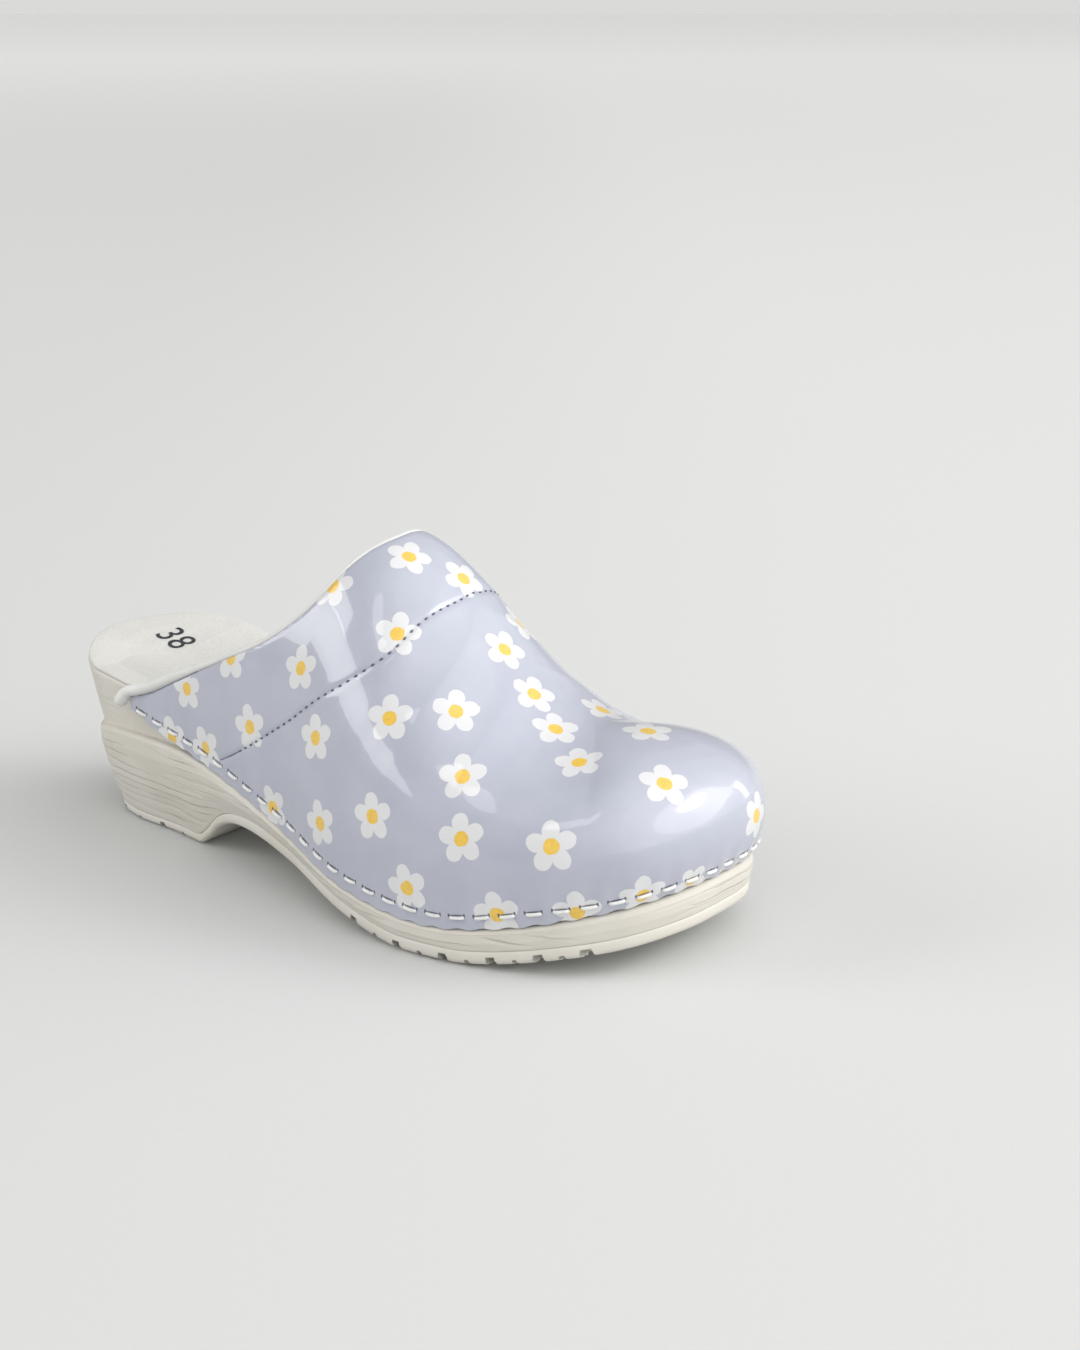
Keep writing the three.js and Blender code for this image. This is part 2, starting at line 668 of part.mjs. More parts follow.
// Centre line of the rolled edge. It sits on the edges of the leather and the lining, and near its
// ends it swings out over the sole's rim and turns down round the leather's rear corners.
function pipingPath() {
  const points = toplinePoints(16);
  const path = points.map(({ point, normal }, i) => {
    const ahead = points[Math.min(i + 1, points.length - 1)].point;
    const behind = points[Math.max(i - 1, 0)].point;
    const along = ahead.clone().sub(behind).normalize();
    const across = normal.clone().cross(along).normalize();
    return point.clone().addScaledVector(across, PIPING_LIFT)
      .addScaledVector(normal, -pipingDepth(point.x));
  });
  const turn = (p) => new THREE.Vector3(p.x - 4.6, p.y + Math.sign(p.y) * 0.4, p.z - 3.2);
  return [turn(path[0]), ...path, turn(path.at(-1))];
}

function tube(points, radius, corners, steps) {
  const path = new THREE.CatmullRomCurve3(points, false, 'centripetal');
  const section = new THREE.Shape();
  for (let i = 0; i < corners; i += 1) {
    const angle = (2 * Math.PI * i) / corners;
    if (i === 0) section.moveTo(radius, 0);
    else section.lineTo(radius * Math.cos(angle), radius * Math.sin(angle));
  }
  section.closePath();
  return new THREE.ExtrudeGeometry(section, { steps, extrudePath: path, bevelEnabled: false });
}

function toplinePiping() {
  const path = pipingPath();
  const ends = [path[0], path.at(-1)].map((p) => {
    const ball = new THREE.SphereGeometry(PIPING_RADIUS * 1.12, 10, 8);
    ball.translate(p.x, p.y, p.z);
    return toSolid(ball);
  });
  return fromSolid(union([toSolid(tube(path, PIPING_RADIUS, 8, 64)), ...ends]));
}

// The stitch line rises from the staples on each side and crosses the instep in front of the opening.
function seamPath(lift) {
  const half = (side) => Array.from({ length: 26 }, (_, i) => {
    const t = SEAM_START_T + (1 - SEAM_START_T) * (i / 25);
    const share = seamShare(t);
    return leather(side, share, t).addScaledVector(leatherNormal(side, share, t), lift);
  });
  return [...half(sides.outer), ...half(sides.inner).toReversed().slice(1)];
}

function collarStitching() {
  return fromSolid(toSolid(tube(seamPath(GAP + THREAD_RADIUS), THREAD_RADIUS, 5, 64)));
}

// ---------------------------------------------------------------- assembly
const PU_WHITE = { color: 0xd9d6d0, roughness: 0.55, metalness: 0 };
const LOOKS = {
  sole: PU_WHITE,
  tread: { color: 0xd3d0c9, roughness: 0.7, metalness: 0 },
  steel: { color: 0x9a9da1, roughness: 0.35, metalness: 1 },
  foam: { color: 0xe6e4de, roughness: 0.9, metalness: 0 },
  insock: { color: 0xeceae5, roughness: 0.7, metalness: 0 },
  patent: { color: 0xaeb3c9, roughness: 0.15, metalness: 0 },
  lining: { color: 0xefeeea, roughness: 0.75, metalness: 0 },
  thread: { color: 0x4a5160, roughness: 0.8, metalness: 0 },
  staple: { color: 0xf2f2f0, roughness: 0.3, metalness: 0.2 },
};

function aboveRim(side, share) {
  const { x } = rim(side.u(share)).point;
  const lift = side.sign < 0 ? outerLift(x) : innerLift(x);
  return levelAt(side, share, rimZ(x) + lift + 1.2);
}

const LINING_TOP = LEATHER + PUFF + 2 * PUFF_GAP;
const COLLAR_END = 0.3;

const clog = new THREE.Group();

function addPiece(name, geometry, look) {
  const shape = geometry.clone();
  shape.computeVertexNormals();
  const mesh = new THREE.Mesh(shape, new THREE.MeshStandardMaterial(LOOKS[look]));
  mesh.name = name;
  clog.add(mesh);
}

addPiece('sole_body', soleBody(), 'sole');
addPiece('outsole', outsole(), 'tread');
addPiece('shank', shank(), 'steel');
addPiece('footbed', footbed(), 'foam');
addPiece('insock', insock(), 'insock');
addPiece('upper', fromSolid(shell({ top: 0, bottom: LEATHER }).subtract(leatherSlots())), 'patent');
addPiece('vamp_lining', fromSolid(shell({
  from: COLLAR_END, lowT: aboveRim, top: LINING_TOP, bottom: LINING_TOP + LINING, rows: 7,
})), 'lining');
const collarRange = {
  from: 0.1, to: COLLAR_END - 0.01, lowT: aboveRim, highT: toplineT, rows: 5,
};
const COLLAR_LINING_TOP = LEATHER + GAP + FOAM + GAP;
for (const [place, side] of [['lateral', sides.outer], ['medial', sides.inner]]) {
  addPiece(`collar_foam_${place}`, fromSolid(shell({
    ...collarRange, only: [side], top: LEATHER + GAP, bottom: LEATHER + GAP + FOAM,
  })), 'foam');
  addPiece(`collar_lining_${place}`, fromSolid(shell({
    ...collarRange, only: [side], top: COLLAR_LINING_TOP, bottom: COLLAR_LINING_TOP + LINING,
  })), 'lining');
}
addPiece('toe_puff', fromSolid(shell({
  from: 0.72,
  lowT: aboveRim,
  highT: (side, share) => 0.62 + 0.2 * share,
  top: LEATHER + PUFF_GAP,
  bottom: LEATHER + PUFF_GAP + PUFF,
  rows: 5,
})), 'foam');
addPiece('topline_piping', toplinePiping(), 'lining');
addPiece('collar_stitching', collarStitching(), 'thread');

const third = Math.round(staples.length * 0.38);
addPiece('staples_lateral', stapleGroup(staples.slice(0, third)), 'staple');
addPiece('staples_toe', stapleGroup(staples.slice(third, staples.length - third)), 'staple');
addPiece('staples_medial', stapleGroup(staples.slice(staples.length - third)), 'staple');

clog.position.set(-ORIGIN[0], -ORIGIN[1], 0);
clog.updateMatrixWorld(true);

export default clog;
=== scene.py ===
"""The look of one daisy-print patent clog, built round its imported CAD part.

Shapes are worked out in millimetres in the drawing coordinates of the CAD part: x = 0 just behind
the heel, y = 0 on the heel's centre line, z = 0 on the ground. A mesh's points become metres in
the part's frame when the mesh is made. Side -1 is the outer (lateral) side, side 1 the inner one.
"""
import math

import bpy
import numpy as np
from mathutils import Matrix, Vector


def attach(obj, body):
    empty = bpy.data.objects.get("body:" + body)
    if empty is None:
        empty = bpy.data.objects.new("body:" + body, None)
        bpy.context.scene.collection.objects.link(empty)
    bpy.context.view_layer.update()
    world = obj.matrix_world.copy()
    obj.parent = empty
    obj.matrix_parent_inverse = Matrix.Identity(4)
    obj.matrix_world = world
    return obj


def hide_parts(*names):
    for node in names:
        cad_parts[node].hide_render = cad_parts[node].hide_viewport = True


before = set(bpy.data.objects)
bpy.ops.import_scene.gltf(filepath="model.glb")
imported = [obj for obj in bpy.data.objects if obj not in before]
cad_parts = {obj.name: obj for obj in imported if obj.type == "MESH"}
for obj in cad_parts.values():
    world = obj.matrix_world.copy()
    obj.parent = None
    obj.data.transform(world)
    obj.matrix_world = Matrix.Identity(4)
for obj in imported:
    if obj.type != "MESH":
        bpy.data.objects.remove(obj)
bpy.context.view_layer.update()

# ---- driving dimensions (mm)
ORIGIN = np.array([135.6, -2.4, 0.0])
LEATHER = 2.0
LINING = 1.0
ROLL_RADIUS = 1.85        # at its rear ends
STAPLE_PITCH = 8.2
STAPLE_CROWN = 5.3
STAPLE_WIRE = 1.1
STAPLE_TILT = 0.05        # the most that a crown rises, as a share of its length
STAPLE_LINE_POINTS = 601  # on each side of the shoe
STITCH_PITCH = 3.2
STITCH_HALF_LENGTH = 0.62
STITCH_RADIUS = 0.33
SEAM_ENDS = 12.0          # plain thread at each end of the row of stitches
ROLL_END = (4.6, 0.4, 5.6)    # how far an end of the roll turns back, out and down
ROLL_SEAM_END_X = 86
TREAD_CURL = 3.6
RIM_WIDTH = 2.5
GRAIN_DEPTH = 0.26
PUCKER_DEPTH = 0.24       # of the leather below each staple
SEAM_GROOVE = 0.34
EDGE_TUCK = 0.3           # the leather's sinking at the topline
SIZE_MARK_PLACE = (31.0, 4.0)
SIZE_MARK_TURN = -12      # degrees
SIZE_MARK_HEIGHT = 0.0145     # metres, as the font takes it

HEEL_CENTRE = 39
HEEL_RADIUS = 33
HEEL_ANGLES = [30, 62, 90]
OUTLINE = [    # x and the outline's distance from y = 0 on the outer and on the inner side
    [60, 33.4, 30.5], [75, 34.6, 29.2], [88, 36.2, 28.3], [105, 38.6, 28.3], [130, 42.8, 31.2],
    [160, 50.2, 37.8], [190, 51.4, 44.6], [215, 46.3, 46.6], [235, 37.8, 43.3], [250, 24.6, 35.4],
    [257.4, 7.6, 23.6],
]
TOE_TIP = [258.8, 8]


def profile(points):
    """Smooth curve through [x, value] pairs, level outside them."""
    xs, values = np.array(points, float).T
    count = len(xs)
    before = np.maximum(np.arange(count) - 1, 0)
    after = np.minimum(np.arange(count) + 1, count - 1)
    slopes = (values[after] - values[before]) / (xs[after] - xs[before])

    def curve(x):
        x = np.clip(np.asarray(x, float), xs[0], xs[-1])
        k = np.clip(np.searchsorted(xs, x, side="right") - 1, 0, count - 2)
        width = xs[k + 1] - xs[k]
        s = (x - xs[k]) / width
        start = (2 * s**3 - 3 * s**2 + 1) * values[k] + (s**3 - 2 * s**2 + s) * width * slopes[k]
        end = (3 * s**2 - 2 * s**3) * values[k + 1] + (s**3 - s**2) * width * slopes[k + 1]
        return start + end

    return curve


tread_curve = profile([
    [72, 0], [75.5, 0.6], [81, 4.5], [87, 9.6], [94, 13], [103, 14.2], [114, 13.6], [127, 11],
    [149, 6.2], [162, 3.4], [174, 1.2], [184, 0], [204, 0], [212, 0.8], [222, 2.5], [234, 5],
    [245, 7.2], [254, 9.2], [260, 10.6],
])
outsole_thickness = profile([[40, 3.4], [72, 3.6], [110, 4.6], [180, 5]])
ledge_z = profile([
    [6, 29.5], [18, 31], [38, 34.5], [60, 35.3], [75, 35], [91, 32.8], [111, 28], [134, 21.2],
    [161, 14.4], [187, 11], [203, 11.3], [222, 14.6], [240, 19.2], [252, 22.4], [260, 24.8],
])
leather_edge_z = profile([
    [50, 45.4], [56, 42.8], [63, 39.9], [76, 37], [92, 33.3], [111, 28.4], [134, 21.6], [161, 14.8],
    [187, 11.4], [203, 11.7], [222, 15], [240, 19.6], [252, 22.8], [260, 25.2],
])
staple_z = profile([
    [50, 46], [62, 43], [95, 36.6], [130, 27], [165, 18.2], [200, 15.3], [232, 21.4],
    [251, 26.1], [260, 28.8],
])
rim_z = profile([
    [6, 54], [22, 54], [38, 53.2], [50, 51.5], [62, 49], [95, 42.4], [130, 33], [165, 24.2],
    [200, 21.2], [232, 27.2], [250, 32], [260, 34.6],
])
outer_lift = profile([[6, 5], [14, 2], [28, 0]])
inner_lift = profile([[6, 5], [20, 5.2], [45, 4.2], [90, 1], [130, 0]])
ledge_step = profile([[6, 0.5], [30, 0.9], [60, 1.8], [80, 2]])
ledge_inset = profile([[6, 5.4], [20, 4], [38, 1.8], [60, 0.2], [75, 0]])
base_inset = profile([
    [6, 11.6], [20, 10], [38, 7.6], [60, 6.2], [75, 4.8], [90, 2.6], [110, 1.2], [135, 0.4],
    [160, -0.6], [190, -1.5], [230, -1.6], [260, -1.2],
])

UPPER_REAR_X = 51
PEAK = 0.394
LOW_SHARE = 0.22
HIGH_SHARE = 0.767
spine_x = profile([
    [0, 51], [0.2, 99], [0.394, 146], [0.58, 184], [0.73, 206], [0.87, 220], [1, 226], [1.13, 220],
])
spine_y = profile([[50, 0], [150, 0.6], [195, 2.9], [226, 8.2]])
spine_z = profile([
    [50, 119], [100, 119], [135, 115], [148, 112.7], [160, 105.8], [172, 95.1], [188, 79.8],
    [202, 68.9], [214, 63.8], [226, 63.6],
])
topline_share = profile([
    [0, 0.06], [0.06, 0.166], [0.12, 0.251], [0.18, 0.329], [0.24, 0.407], [0.27, 0.453],
    [0.3, 0.513], [0.33, 0.595], [0.36, 0.735], [0.38, 0.885], [0.394, 1],
])
low_bulge = profile([[50, 0], [150, 0.2], [200, 0.5], [240, 2.8], [260, 5.3]])
high_bulge = profile([
    [50, 0.5], [100, 0.4], [150, -1.6], [200, 3], [231, 8], [250, 15], [260, 14.1],
])
inner_tuck = profile([[50, 0], [120, 0.8], [170, 1.6], [215, 1.7], [240, 0]])
crown_reach = profile([[50, 0.55], [150, 0.5], [200, 0.6], [260, 0.76]])
seam_share = profile([
    [0.07, 0.195], [0.25, 0.298], [0.42, 0.394], [0.62, 0.445], [0.77, 0.456],
    [0.9, 0.474], [1, 0.505],
])
SEAM_START_T = 0.07
roll_radius = profile([[50, 1.85], [70, 1.85], [84, 1.4], [98, 0.9], [148, 0.85]])
roll_depth = profile([[50, -0.6], [60, 0.2], [70, 1.0], [84, 1.3], [98, 1.0], [148, 0.95]])
roll_lift = profile([[50, 2.0], [70, 1.95], [84, 1.45], [98, 0.85], [148, 0.8]])


def tread_z(x):
    return np.maximum(tread_curve(x), 0)


# ---- sole outline
def outline_stations():
    """Points once round the outline, from the heel's back along the outer side to the toe."""
    heel = []
    for angle in np.radians(HEEL_ANGLES):
        half = HEEL_RADIUS * math.sin(angle)
        heel.append([HEEL_CENTRE - HEEL_RADIUS * math.cos(angle), half, half])
    side = heel + OUTLINE
    outer = [[x, -half] for x, half, _ in side]
    inner = [[x, half] for x, _, half in reversed(side)]
    return np.array([[HEEL_CENTRE - HEEL_RADIUS, 0], *outer, TOE_TIP, *inner])


STATIONS = outline_stations()


def rim_point(u):
    """Centripetal Catmull-Rom curve through the stations; u runs 0 to 1 from the heel's back along
    the outer side to the toe tip at 0.5 and back along the inner side."""
    place = (np.asarray(u, float) % 1) * len(STATIONS)
    k = np.floor(place).astype(int)
    w = (place - k)[..., None]
    p = [STATIONS[(k + step) % len(STATIONS)] for step in (-1, 0, 1, 2)]
    gap = [np.sqrt(np.linalg.norm(p[i + 1] - p[i], axis=-1))[..., None] for i in range(3)]
    first = (p[1] - p[0]) / gap[0] - (p[2] - p[0]) / (gap[0] + gap[1]) + (p[2] - p[1]) / gap[1]
    last = (p[2] - p[1]) / gap[1] - (p[3] - p[1]) / (gap[1] + gap[2]) + (p[3] - p[2]) / gap[2]
    first, last = first * gap[1], last * gap[1]
    cubic = 2 * p[1] - 2 * p[2] + first + last
    square = -3 * p[1] + 3 * p[2] - 2 * first - last
    return p[1] + first * w + square * w**2 + cubic * w**3


def rim(u):
    """Points of the outline and its outward directions."""
    step = 1e-4
    along = rim_point(u + step) - rim_point(u - step)
    along /= np.linalg.norm(along, axis=-1)[..., None]
    out = np.stack([along[..., 1], -along[..., 0], 0 * along[..., 0]], -1)
    point = rim_point(u)
    return np.concatenate([point, 0 * point[..., :1]], -1), out


def side_lookup(side):
    """Function from the share of the way from the upper's rear end to the toe tip to u."""
    def u_at(k):
        return k if side < 0 else 1 - k

    fine = np.linspace(0.02, 0.3, 4000)
    start = np.interp(UPPER_REAR_X, rim_point(u_at(fine))[:, 0], fine)
    k = np.linspace(start, 0.5, 801)
    steps = np.linalg.norm(np.diff(rim_point(u_at(k)), axis=0), axis=1)
    length = np.concatenate([[0], np.cumsum(steps)])
    return lambda share: u_at(np.interp(np.clip(share, 0, 1) * length[-1], length, k))


SIDE_U = {-1: side_lookup(-1), 1: side_lookup(1)}


# ---- the leather's outer surface
def unit(v):
    return v / np.maximum(np.linalg.norm(v, axis=-1), 1e-12)[..., None]


def spine(share):
    x = spine_x(share)
    return np.stack([x, spine_y(x), spine_z(x)], -1)


def spine_normal(share):
    x = spine_x(share)
    slope = spine_z(x + 0.5) - spine_z(x - 0.5)
    return unit(np.stack([-slope, 0 * slope, 1 + 0 * slope], -1))


def leather(side, share, t):
    """Points of the leather's outer surface.

    share runs from the rear end to the toe tip and t from the lower edge up to the spine."""
    share, t = np.broadcast_arrays(np.asarray(share, float), np.asarray(t, float))
    point, out = rim(SIDE_U[side](share))
    x = point[..., 0]
    foot = point + out * LEATHER
    foot[..., 2] = leather_edge_z(foot[..., 0])
    crown = spine(share)
    height = crown[..., 2] - foot[..., 2]
    low = foot + out * low_bulge(x)[..., None]
    low[..., 2] += LOW_SHARE * height
    tuck = inner_tuck(x) if side > 0 else 0
    high = foot + out * (high_bulge(x) - tuck)[..., None]
    high[..., 2] += HIGH_SHARE * height
    high[..., 0] += (crown[..., 0] - foot[..., 0]) * 0.12
    normal = spine_normal(share)
    reach = foot - crown
    reach = reach - normal * (reach * normal).sum(-1)[..., None]
    shoulder = crown + reach * crown_reach(x)[..., None]
    t = t[..., None]
    s = 1 - t
    return (foot * s**4 + low * 4 * s**3 * t + high * 6 * s**2 * t**2
            + shoulder * 4 * s * t**3 + crown * t**4)


def leather_normal(side, share, t):
    share, t = np.broadcast_arrays(np.asarray(share, float), np.asarray(t, float))
    step = 1e-3
    above, below = np.minimum(t + step, 1), np.maximum(t - step, 0)
    up = leather(side, share, above) - leather(side, share, below)
    ahead = leather(side, np.minimum(share + step, 1), t)
    along = (ahead - leather(side, share - step, t)) * -side
    tip = leather(1, 1 - 5 * step + 0 * share, t) - leather(-1, 1 - 5 * step + 0 * share, t)
    along = np.where((share > 0.999)[..., None], tip, along)
    normal = unit(np.cross(along, up))
    return np.where((t > 0.999)[..., None], spine_normal(share), normal)


def level_at(side, share, z):
    """The t at which the leather reaches a height."""
    share, z = np.broadcast_arrays(np.asarray(share, float), np.asarray(z, float))
    low, high = np.zeros(share.shape), np.ones(share.shape)
    for _ in range(34):
        middle = (low + high) / 2
        below = leather(side, share, middle)[..., 2] < z
        low, high = np.where(below, middle, low), np.where(below, high, middle)
    return (low + high) / 2


def topline_t(share):
    """The t of the leather's upper edge, which is the spine from the instep's peak on."""
    return np.where(share >= PEAK, 1.0, topline_share(share))


def line_lengths(points):
    """The length along a polyline up to each of its points."""
    steps = np.linalg.norm(np.diff(points, axis=0), axis=1)
    return np.concatenate([[0], np.cumsum(steps)])


def resample(wanted, length, points):
    """A polyline's values at given lengths along it; length holds each point's own."""
    return np.stack([np.interp(wanted, length, points[:, k]) for k in range(3)], -1)


def along_line(points, wanted):
    """Points and unit tangents at given lengths along a polyline."""
    length = line_lengths(points)
    step = 0.4
    ahead = resample(wanted + step, length, points)
    behind = resample(wanted - step, length, points)
    return resample(wanted, length, points), unit(ahead - behind)


def smooth(line, times):
    """Evens out a line in place, with its two ends kept."""
    for _ in range(times):
        line[1:-1] = (line[:-2] + 2 * line[1:-1] + line[2:]) / 4
    return line


def both_sides(path_of_side):
    """Joins what a function gives for each side, from the outer rear end to the inner one."""
    outer, inner = path_of_side(-1), path_of_side(1)
    return [np.concatenate([a, b[::-1][1:]]) for a, b in zip(outer, inner)]


def leather_line(share, t):
    """A path over the leather at share and t, the same on both sides, with its normals."""
    def half(side):
        return leather(side, share, t), leather_normal(side, share, t)

    return both_sides(half)


def rear_shares(count, last=True):
    """Shares from the rear end to the instep's peak, denser towards the peak."""
    return PEAK * (1 - (1 - np.linspace(0, 1, count, endpoint=last)) ** 1.6)


def staple_line():
    """The path on which the staples sit, with its outward directions."""
    share = np.linspace(0, 1, STAPLE_LINE_POINTS)

    def half(side):
        point, out = rim(SIDE_U[side](share))
        t = level_at(side, share, staple_z(point[:, 0]))
        return leather(side, share, t), out

    return both_sides(half)


STAPLE_PATH, STAPLE_OUT = staple_line()
STAPLE_LENGTH = line_lengths(STAPLE_PATH)
STAPLE_COUNT = int((STAPLE_LENGTH[-1] - STAPLE_CROWN) / STAPLE_PITCH) + 1
STAPLE_START = (STAPLE_LENGTH[-1] - (STAPLE_COUNT - 1) * STAPLE_PITCH) / 2

seam_t = np.linspace(SEAM_START_T, 1, 240)
SEAM_PATH, SEAM_NORMAL = leather_line(smooth(seam_share(seam_t), 160), seam_t)
topline_shares = rear_shares(160)
TOPLINE, TOPLINE_NORMAL = leather_line(topline_shares, topline_t(topline_shares))
TOPLINE_ACROSS = unit(np.cross(TOPLINE_NORMAL, unit(np.gradient(TOPLINE, axis=0))))


def staple_frames():
    """Each staple's centre, direction along the row and direction outwards."""
    wanted = STAPLE_START + STAPLE_PITCH * np.arange(STAPLE_COUNT)
    centre, along = along_line(STAPLE_PATH, wanted)
    out = unit(resample(wanted, STAPLE_LENGTH, STAPLE_OUT))
    along = unit(along - out * (along * out).sum(-1)[:, None])
    tilt = STAPLE_TILT * np.sin(7.3 * np.arange(STAPLE_COUNT))
    along = unit(along + np.stack([0 * tilt, 0 * tilt, tilt], -1))
    return centre, along, out


STAPLE_CENTRE, STAPLE_ALONG, STAPLE_OUTWARD = staple_frames()


def ripple(p, scale, seed):
    """Smooth deterministic noise from -1 to 1 at points p, with features about scale across."""
    total = 0
    for k in range(5):
        angle = seed * 1.7 + k * 2.4
        tilt = math.sin(seed + 1.3 * k)
        way = np.array([math.cos(angle), math.sin(angle), tilt]) * (0.7 + 0.22 * k)
        total = total + np.sin(p @ way * (2 * math.pi / (scale * 2.2)) + seed * 3.1 + k * k)
    return total / 3.2


def distance_to(points, line):
    """Distance from each point to the nearest of a line's points."""
    flat = points.reshape(-1, 3)
    found = np.empty(len(flat))
    for start in range(0, len(flat), 4000):
        part = flat[start:start + 4000]
        gap = part[:, None, :] - line[None, :, :]
        found[start:start + 4000] = np.sqrt((gap**2).sum(-1).min(1))
    return found.reshape(points.shape[:-1])


def distance_index(points, line):
    """Index of the line's point nearest to each point."""
    return np.argmin(np.linalg.norm(points[:, None] - line[None], axis=-1), axis=1)


# ---- meshes
def add_object(name, data):
    thing = bpy.data.objects.new(name, data)
    bpy.context.collection.objects.link(thing)
    return thing


def make_piece(name, points, faces):
    """A smooth-shaded piece of the shoe from points in millimetres."""
    mesh = bpy.data.meshes.new(name)
    placed = (np.asarray(points, float) - ORIGIN) / 1000
    mesh.from_pydata(placed.tolist(), [], [list(map(int, f)) for f in faces])
    mesh.shade_smooth()
    piece = add_object(name, mesh)
    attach(piece, "root")
    return piece


def mark_points(piece, name, values):
    """Stores one number for each of a mesh's points, for its material to read."""
    layer = piece.data.attributes.new(name, "FLOAT", "POINT")
    layer.data.foreach_set("value", values.astype(np.float32))


def index_pairs(columns, rows):
    return (g.ravel() for g in np.meshgrid(np.arange(columns), np.arange(rows), indexing="ij"))


def sheet(place, side):
    """Points and quads of a grid of points on one side of the shoe, facing outwards."""
    columns, rows = place.shape[:2]
    i, j = index_pairs(columns - 1, rows - 1)
    k = i + 1
    quads = np.stack([i * rows + j, k * rows + j, k * rows + j + 1, i * rows + j + 1], -1)
    return place.reshape(-1, 3), (quads[:, ::-1] if side > 0 else quads).tolist()


def merged(points, faces, reach=2e-3):
    """Joins points closer together than reach and drops faces that collapse.

    Returns the points and faces that are left and which of the old points they are."""
    keys = np.round(np.asarray(points) / reach).astype(int)
    _, first, index = np.unique(keys, axis=0, return_index=True, return_inverse=True)
    index = index.ravel()
    kept = []
    for face in faces:
        loop = [index[k] for k in face]
        ring = [a for a, b in zip(loop, loop[1:] + loop[:1]) if a != b]
        if len(ring) > 2:
            kept.append(ring)
    return np.asarray(points)[first], kept, first


def sharpen(piece, degrees):
    """Marks edges sharper than an angle, so that smooth shading stops at them."""
    piece.data.set_sharp_from_angle(angle=math.radians(degrees))


def thicken(piece, thickness, edge, segments=3):
    """Gives a sheet its thickness inwards and rounds its cut edges."""
    solid = piece.modifiers.new("thickness", "SOLIDIFY")
    solid.thickness = thickness / 1000
    solid.offset = -1
    solid.use_quality_normals = True
    bevel = piece.modifiers.new("edge", "BEVEL")
    bevel.width = edge / 1000
    bevel.segments = segments
    bevel.limit_method = "ANGLE"
    bevel.angle_limit = math.radians(55)
    bevel.harden_normals = False


def tube(points, radius, sides):
    """Points and faces of a closed tube along a line; radius is one number or one per point."""
    points = np.asarray(points, float)
    count = len(points)
    radius = np.broadcast_to(np.asarray(radius, float), (count,))
    tangent = unit(np.gradient(points, axis=0))
    across = np.empty_like(points)
    guess = np.cross(tangent[0], [0.0, 0.0, 1.0])
    if np.linalg.norm(guess) < 0.1:
        guess = np.cross(tangent[0], [0.0, 1.0, 0.0])
    for i in range(count):
        guess = guess - tangent[i] * (guess @ tangent[i])
        guess = guess / np.linalg.norm(guess)
        across[i] = guess
    other = np.cross(tangent, across)
    angle = np.linspace(0, 2 * math.pi, sides, endpoint=False)
    cosine, sine = np.cos(angle)[None, :, None], np.sin(angle)[None, :, None]
    around = cosine * across[:, None] + sine * other[:, None]
    shell = (points[:, None] + around * radius[:, None, None]).reshape(-1, 3)
    i, j = index_pairs(count - 1, sides)
    k = (j + 1) % sides
    quads = np.stack([i * sides + j, i * sides + k, (i + 1) * sides + k, (i + 1) * sides + j], -1)
    ends = [list(range(sides))[::-1], [(count - 1) * sides + j for j in range(sides)]]
    return shell, quads.tolist() + ends


def join_parts(parts):
    """Several (points, faces) pairs as one."""
    points, faces, start = [], [], 0
    for part_points, part_faces in parts:
        points.append(part_points)
        faces.extend([[k + start for k in face] for face in part_faces])
        start += len(part_points)
    return np.concatenate(points), faces


